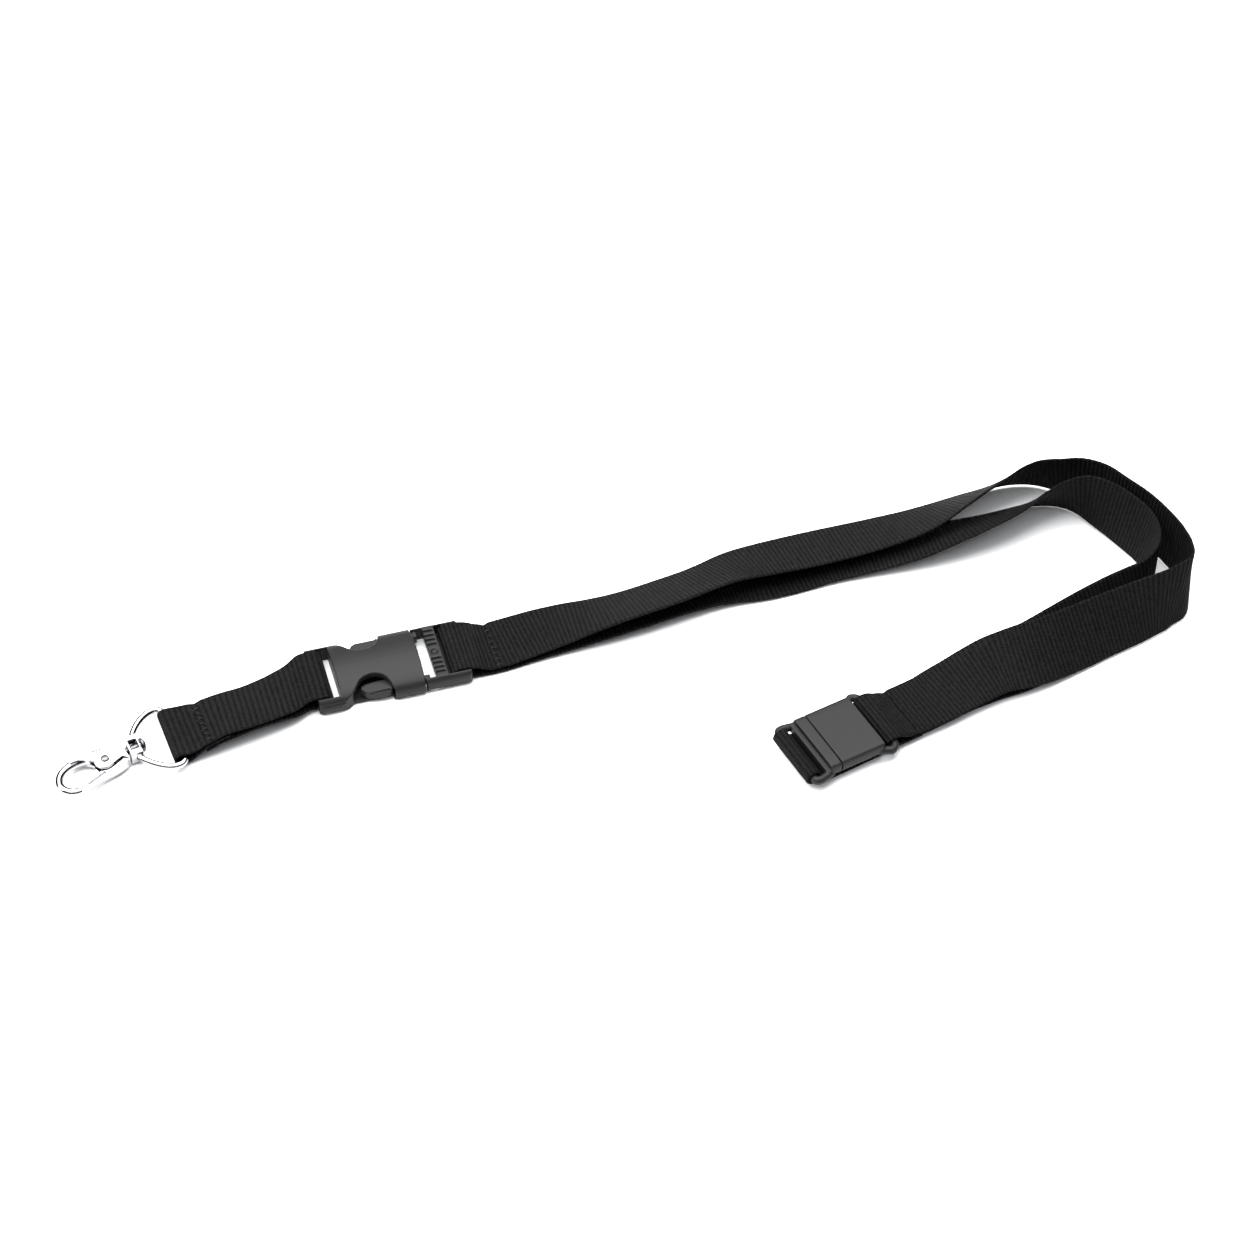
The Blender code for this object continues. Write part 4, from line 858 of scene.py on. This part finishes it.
# an eye on the pin inside the slot, and a folded strip for the gate and thumb tab
def leverPiece():
    px, py = hookPivot
    plan = arcPoints(hookPivot, 2.0, 100, -60, 16)
    plan += [(-8.4, -3.2), (-6.6, -4.3), (-11.2, -5.2), (-12.6, -4.8), (-12.1, -2.6)]
    strip = closedSmooth([(-3.4, -4.3), (-4.4, -3.1), (-6.5, -3.7), (-9.0, -4.55), (-10.6, -4.75),
                          (-12.4, -4.4), (-13.4, -4.3), (-16.0, -5.3), (-18.6, -6.2), (-19.0, -7.4),
                          (-18.4, -7.9), (-15.4, -7.0), (-12.0, -6.3), (-8.0, -5.9), (-5.2, -5.2)], 0.5)
    base = prism(plan, -0.7, 0.7)
    groove = prism([(-11.6, -4.8), (-11.5, -5.4), (-17.9, -7.3), (-18.1, -6.7)], 0.5, 9)
    steps = [("DIFFERENCE", rod(1.0, (px, py, -9), (px, py, 9))), ("UNION", prism(strip, -1.5, 1.5)),
             ("DIFFERENCE", groove)]
    return moulded("triggerLever", base, steps, metalVoxel["lever"], 4, hookTurn, ringAt)


def pinPiece():
    px, py = hookPivot
    base = rod(0.9, (px, py, -2.1), (px, py, 2.1))
    steps = [("UNION", ball((px, py, 2.1), 1.25, (1, 1, 0.3)))]
    return moulded("triggerPin", base, steps, metalVoxel["pin"], 3, hookTurn, ringAt)


def springPiece():
    leaf = smoothRows([(-7.2, 0.35, 0), (-5.6, 0.1, 0), (-5.2, -0.8, 0), (-6.0, -1.6, 0),
                       (-6.6, -2.6, 0)], 0.2)
    wire = tube(leaf, 0.25, resolution=6)
    return moulded("triggerSpring", wire, [], metalVoxel["spring"], 2, hookTurn, ringAt)


dress(ringPiece(), chromeMaterial, "ring", ["d_loop"])
dress(rivetPiece(), rivetMaterial, "hook", ["swivel_rivet"])
dress(hookPiece(), chromeMaterial, "hook", ["hook_body"])
dress(leverPiece(), chromeMaterial, "trigger", ["trigger_lever"])
dress(pinPiece(), rivetMaterial, "hook", ["trigger_pin"])
dress(springPiece(), springMaterial, "hook", ["trigger_spring"])
print("stage: ring and hook")

# floor, light and camera
floorMesh = bmesh.new()
bmesh.ops.create_grid(floorMesh, x_segments=1, y_segments=1, size=3)
floor = bmObject("floor", floorMesh)
floor.location.z = -0.0003
floorLook = Look("floorLook", Roughness=0.9)
mottle = floorLook.noise(floorLook.place("Object"), 3.0)
floorLook.put("Base Color", floorLook.mixColour(mottle, (0.9, 0.9, 0.9, 1), (0.93, 0.93, 0.93, 1)))
floor.data.materials.append(floorLook.material)


# a rectangular area light that faces a spot
def area(name, at, aim, size, power):
    data = bpy.data.lights.new(name, "AREA")
    data.shape = "RECTANGLE"
    data.size, data.size_y = size
    data.energy = power
    lamp = link(bpy.data.objects.new(name, data))
    lamp.location = at
    lamp.rotation_euler = (Vector(aim) - Vector(at)).to_track_quat("-Z", "Y").to_euler()


# places and sizes in metres, power in watts; the sky brightens between two heights of its direction
studio = {
    "aim": (0.08, -0.02, 0),
    "overhead": ((0.0, 0.25, 1.1), (1.7, 1.3), 46), "side": ((-0.9, 0.1, 0.6), (0.4, 0.7), 8),
    "sky": {"From Min": 0.6, "From Max": 0.74, "To Min": 0.03, "To Max": 1.9},
    "skyColour": (0.96, 0.98, 1.0, 1),
    "lens": 100, "target": (0.0755, -0.001, 0.0), "azimuth": -16, "elevation": 47, "distance": 1.085,
}
for name in ("overhead", "side"):
    at, size, power = studio[name]
    area(name, at, studio["aim"], size, power)
world = bpy.data.worlds.new("studio")
bpy.context.scene.world = world
world.use_nodes = True
tree = world.node_tree
direction = tree.nodes.new("ShaderNodeTexCoord").outputs["Generated"]
split = tree.nodes.new("ShaderNodeSeparateXYZ")
tree.links.new(direction, split.inputs[0])
ramp = tree.nodes.new("ShaderNodeMapRange")
for name, value in studio["sky"].items():
    ramp.inputs[name].default_value = value
tree.links.new(split.outputs[2], ramp.inputs["Value"])
tree.links.new(ramp.outputs["Result"], tree.nodes["Background"].inputs["Strength"])
tree.nodes["Background"].inputs["Color"].default_value = studio["skyColour"]

camera = link(bpy.data.objects.new("camera", bpy.data.cameras.new("camera")))
camera.data.lens, camera.data.sensor_width = studio["lens"], 36
azimuth, elevation = math.radians(studio["azimuth"]), math.radians(studio["elevation"])
ahead = Vector((-math.sin(azimuth) * math.cos(elevation), math.cos(azimuth) * math.cos(elevation),
                -math.sin(elevation)))
camera.location = Vector(studio["target"]) - ahead * studio["distance"]
camera.rotation_euler = ahead.to_track_quat("-Z", "Y").to_euler()
bpy.context.scene.camera = camera
bpy.context.scene.view_settings.view_transform = "Standard"
print("stage: light and camera")

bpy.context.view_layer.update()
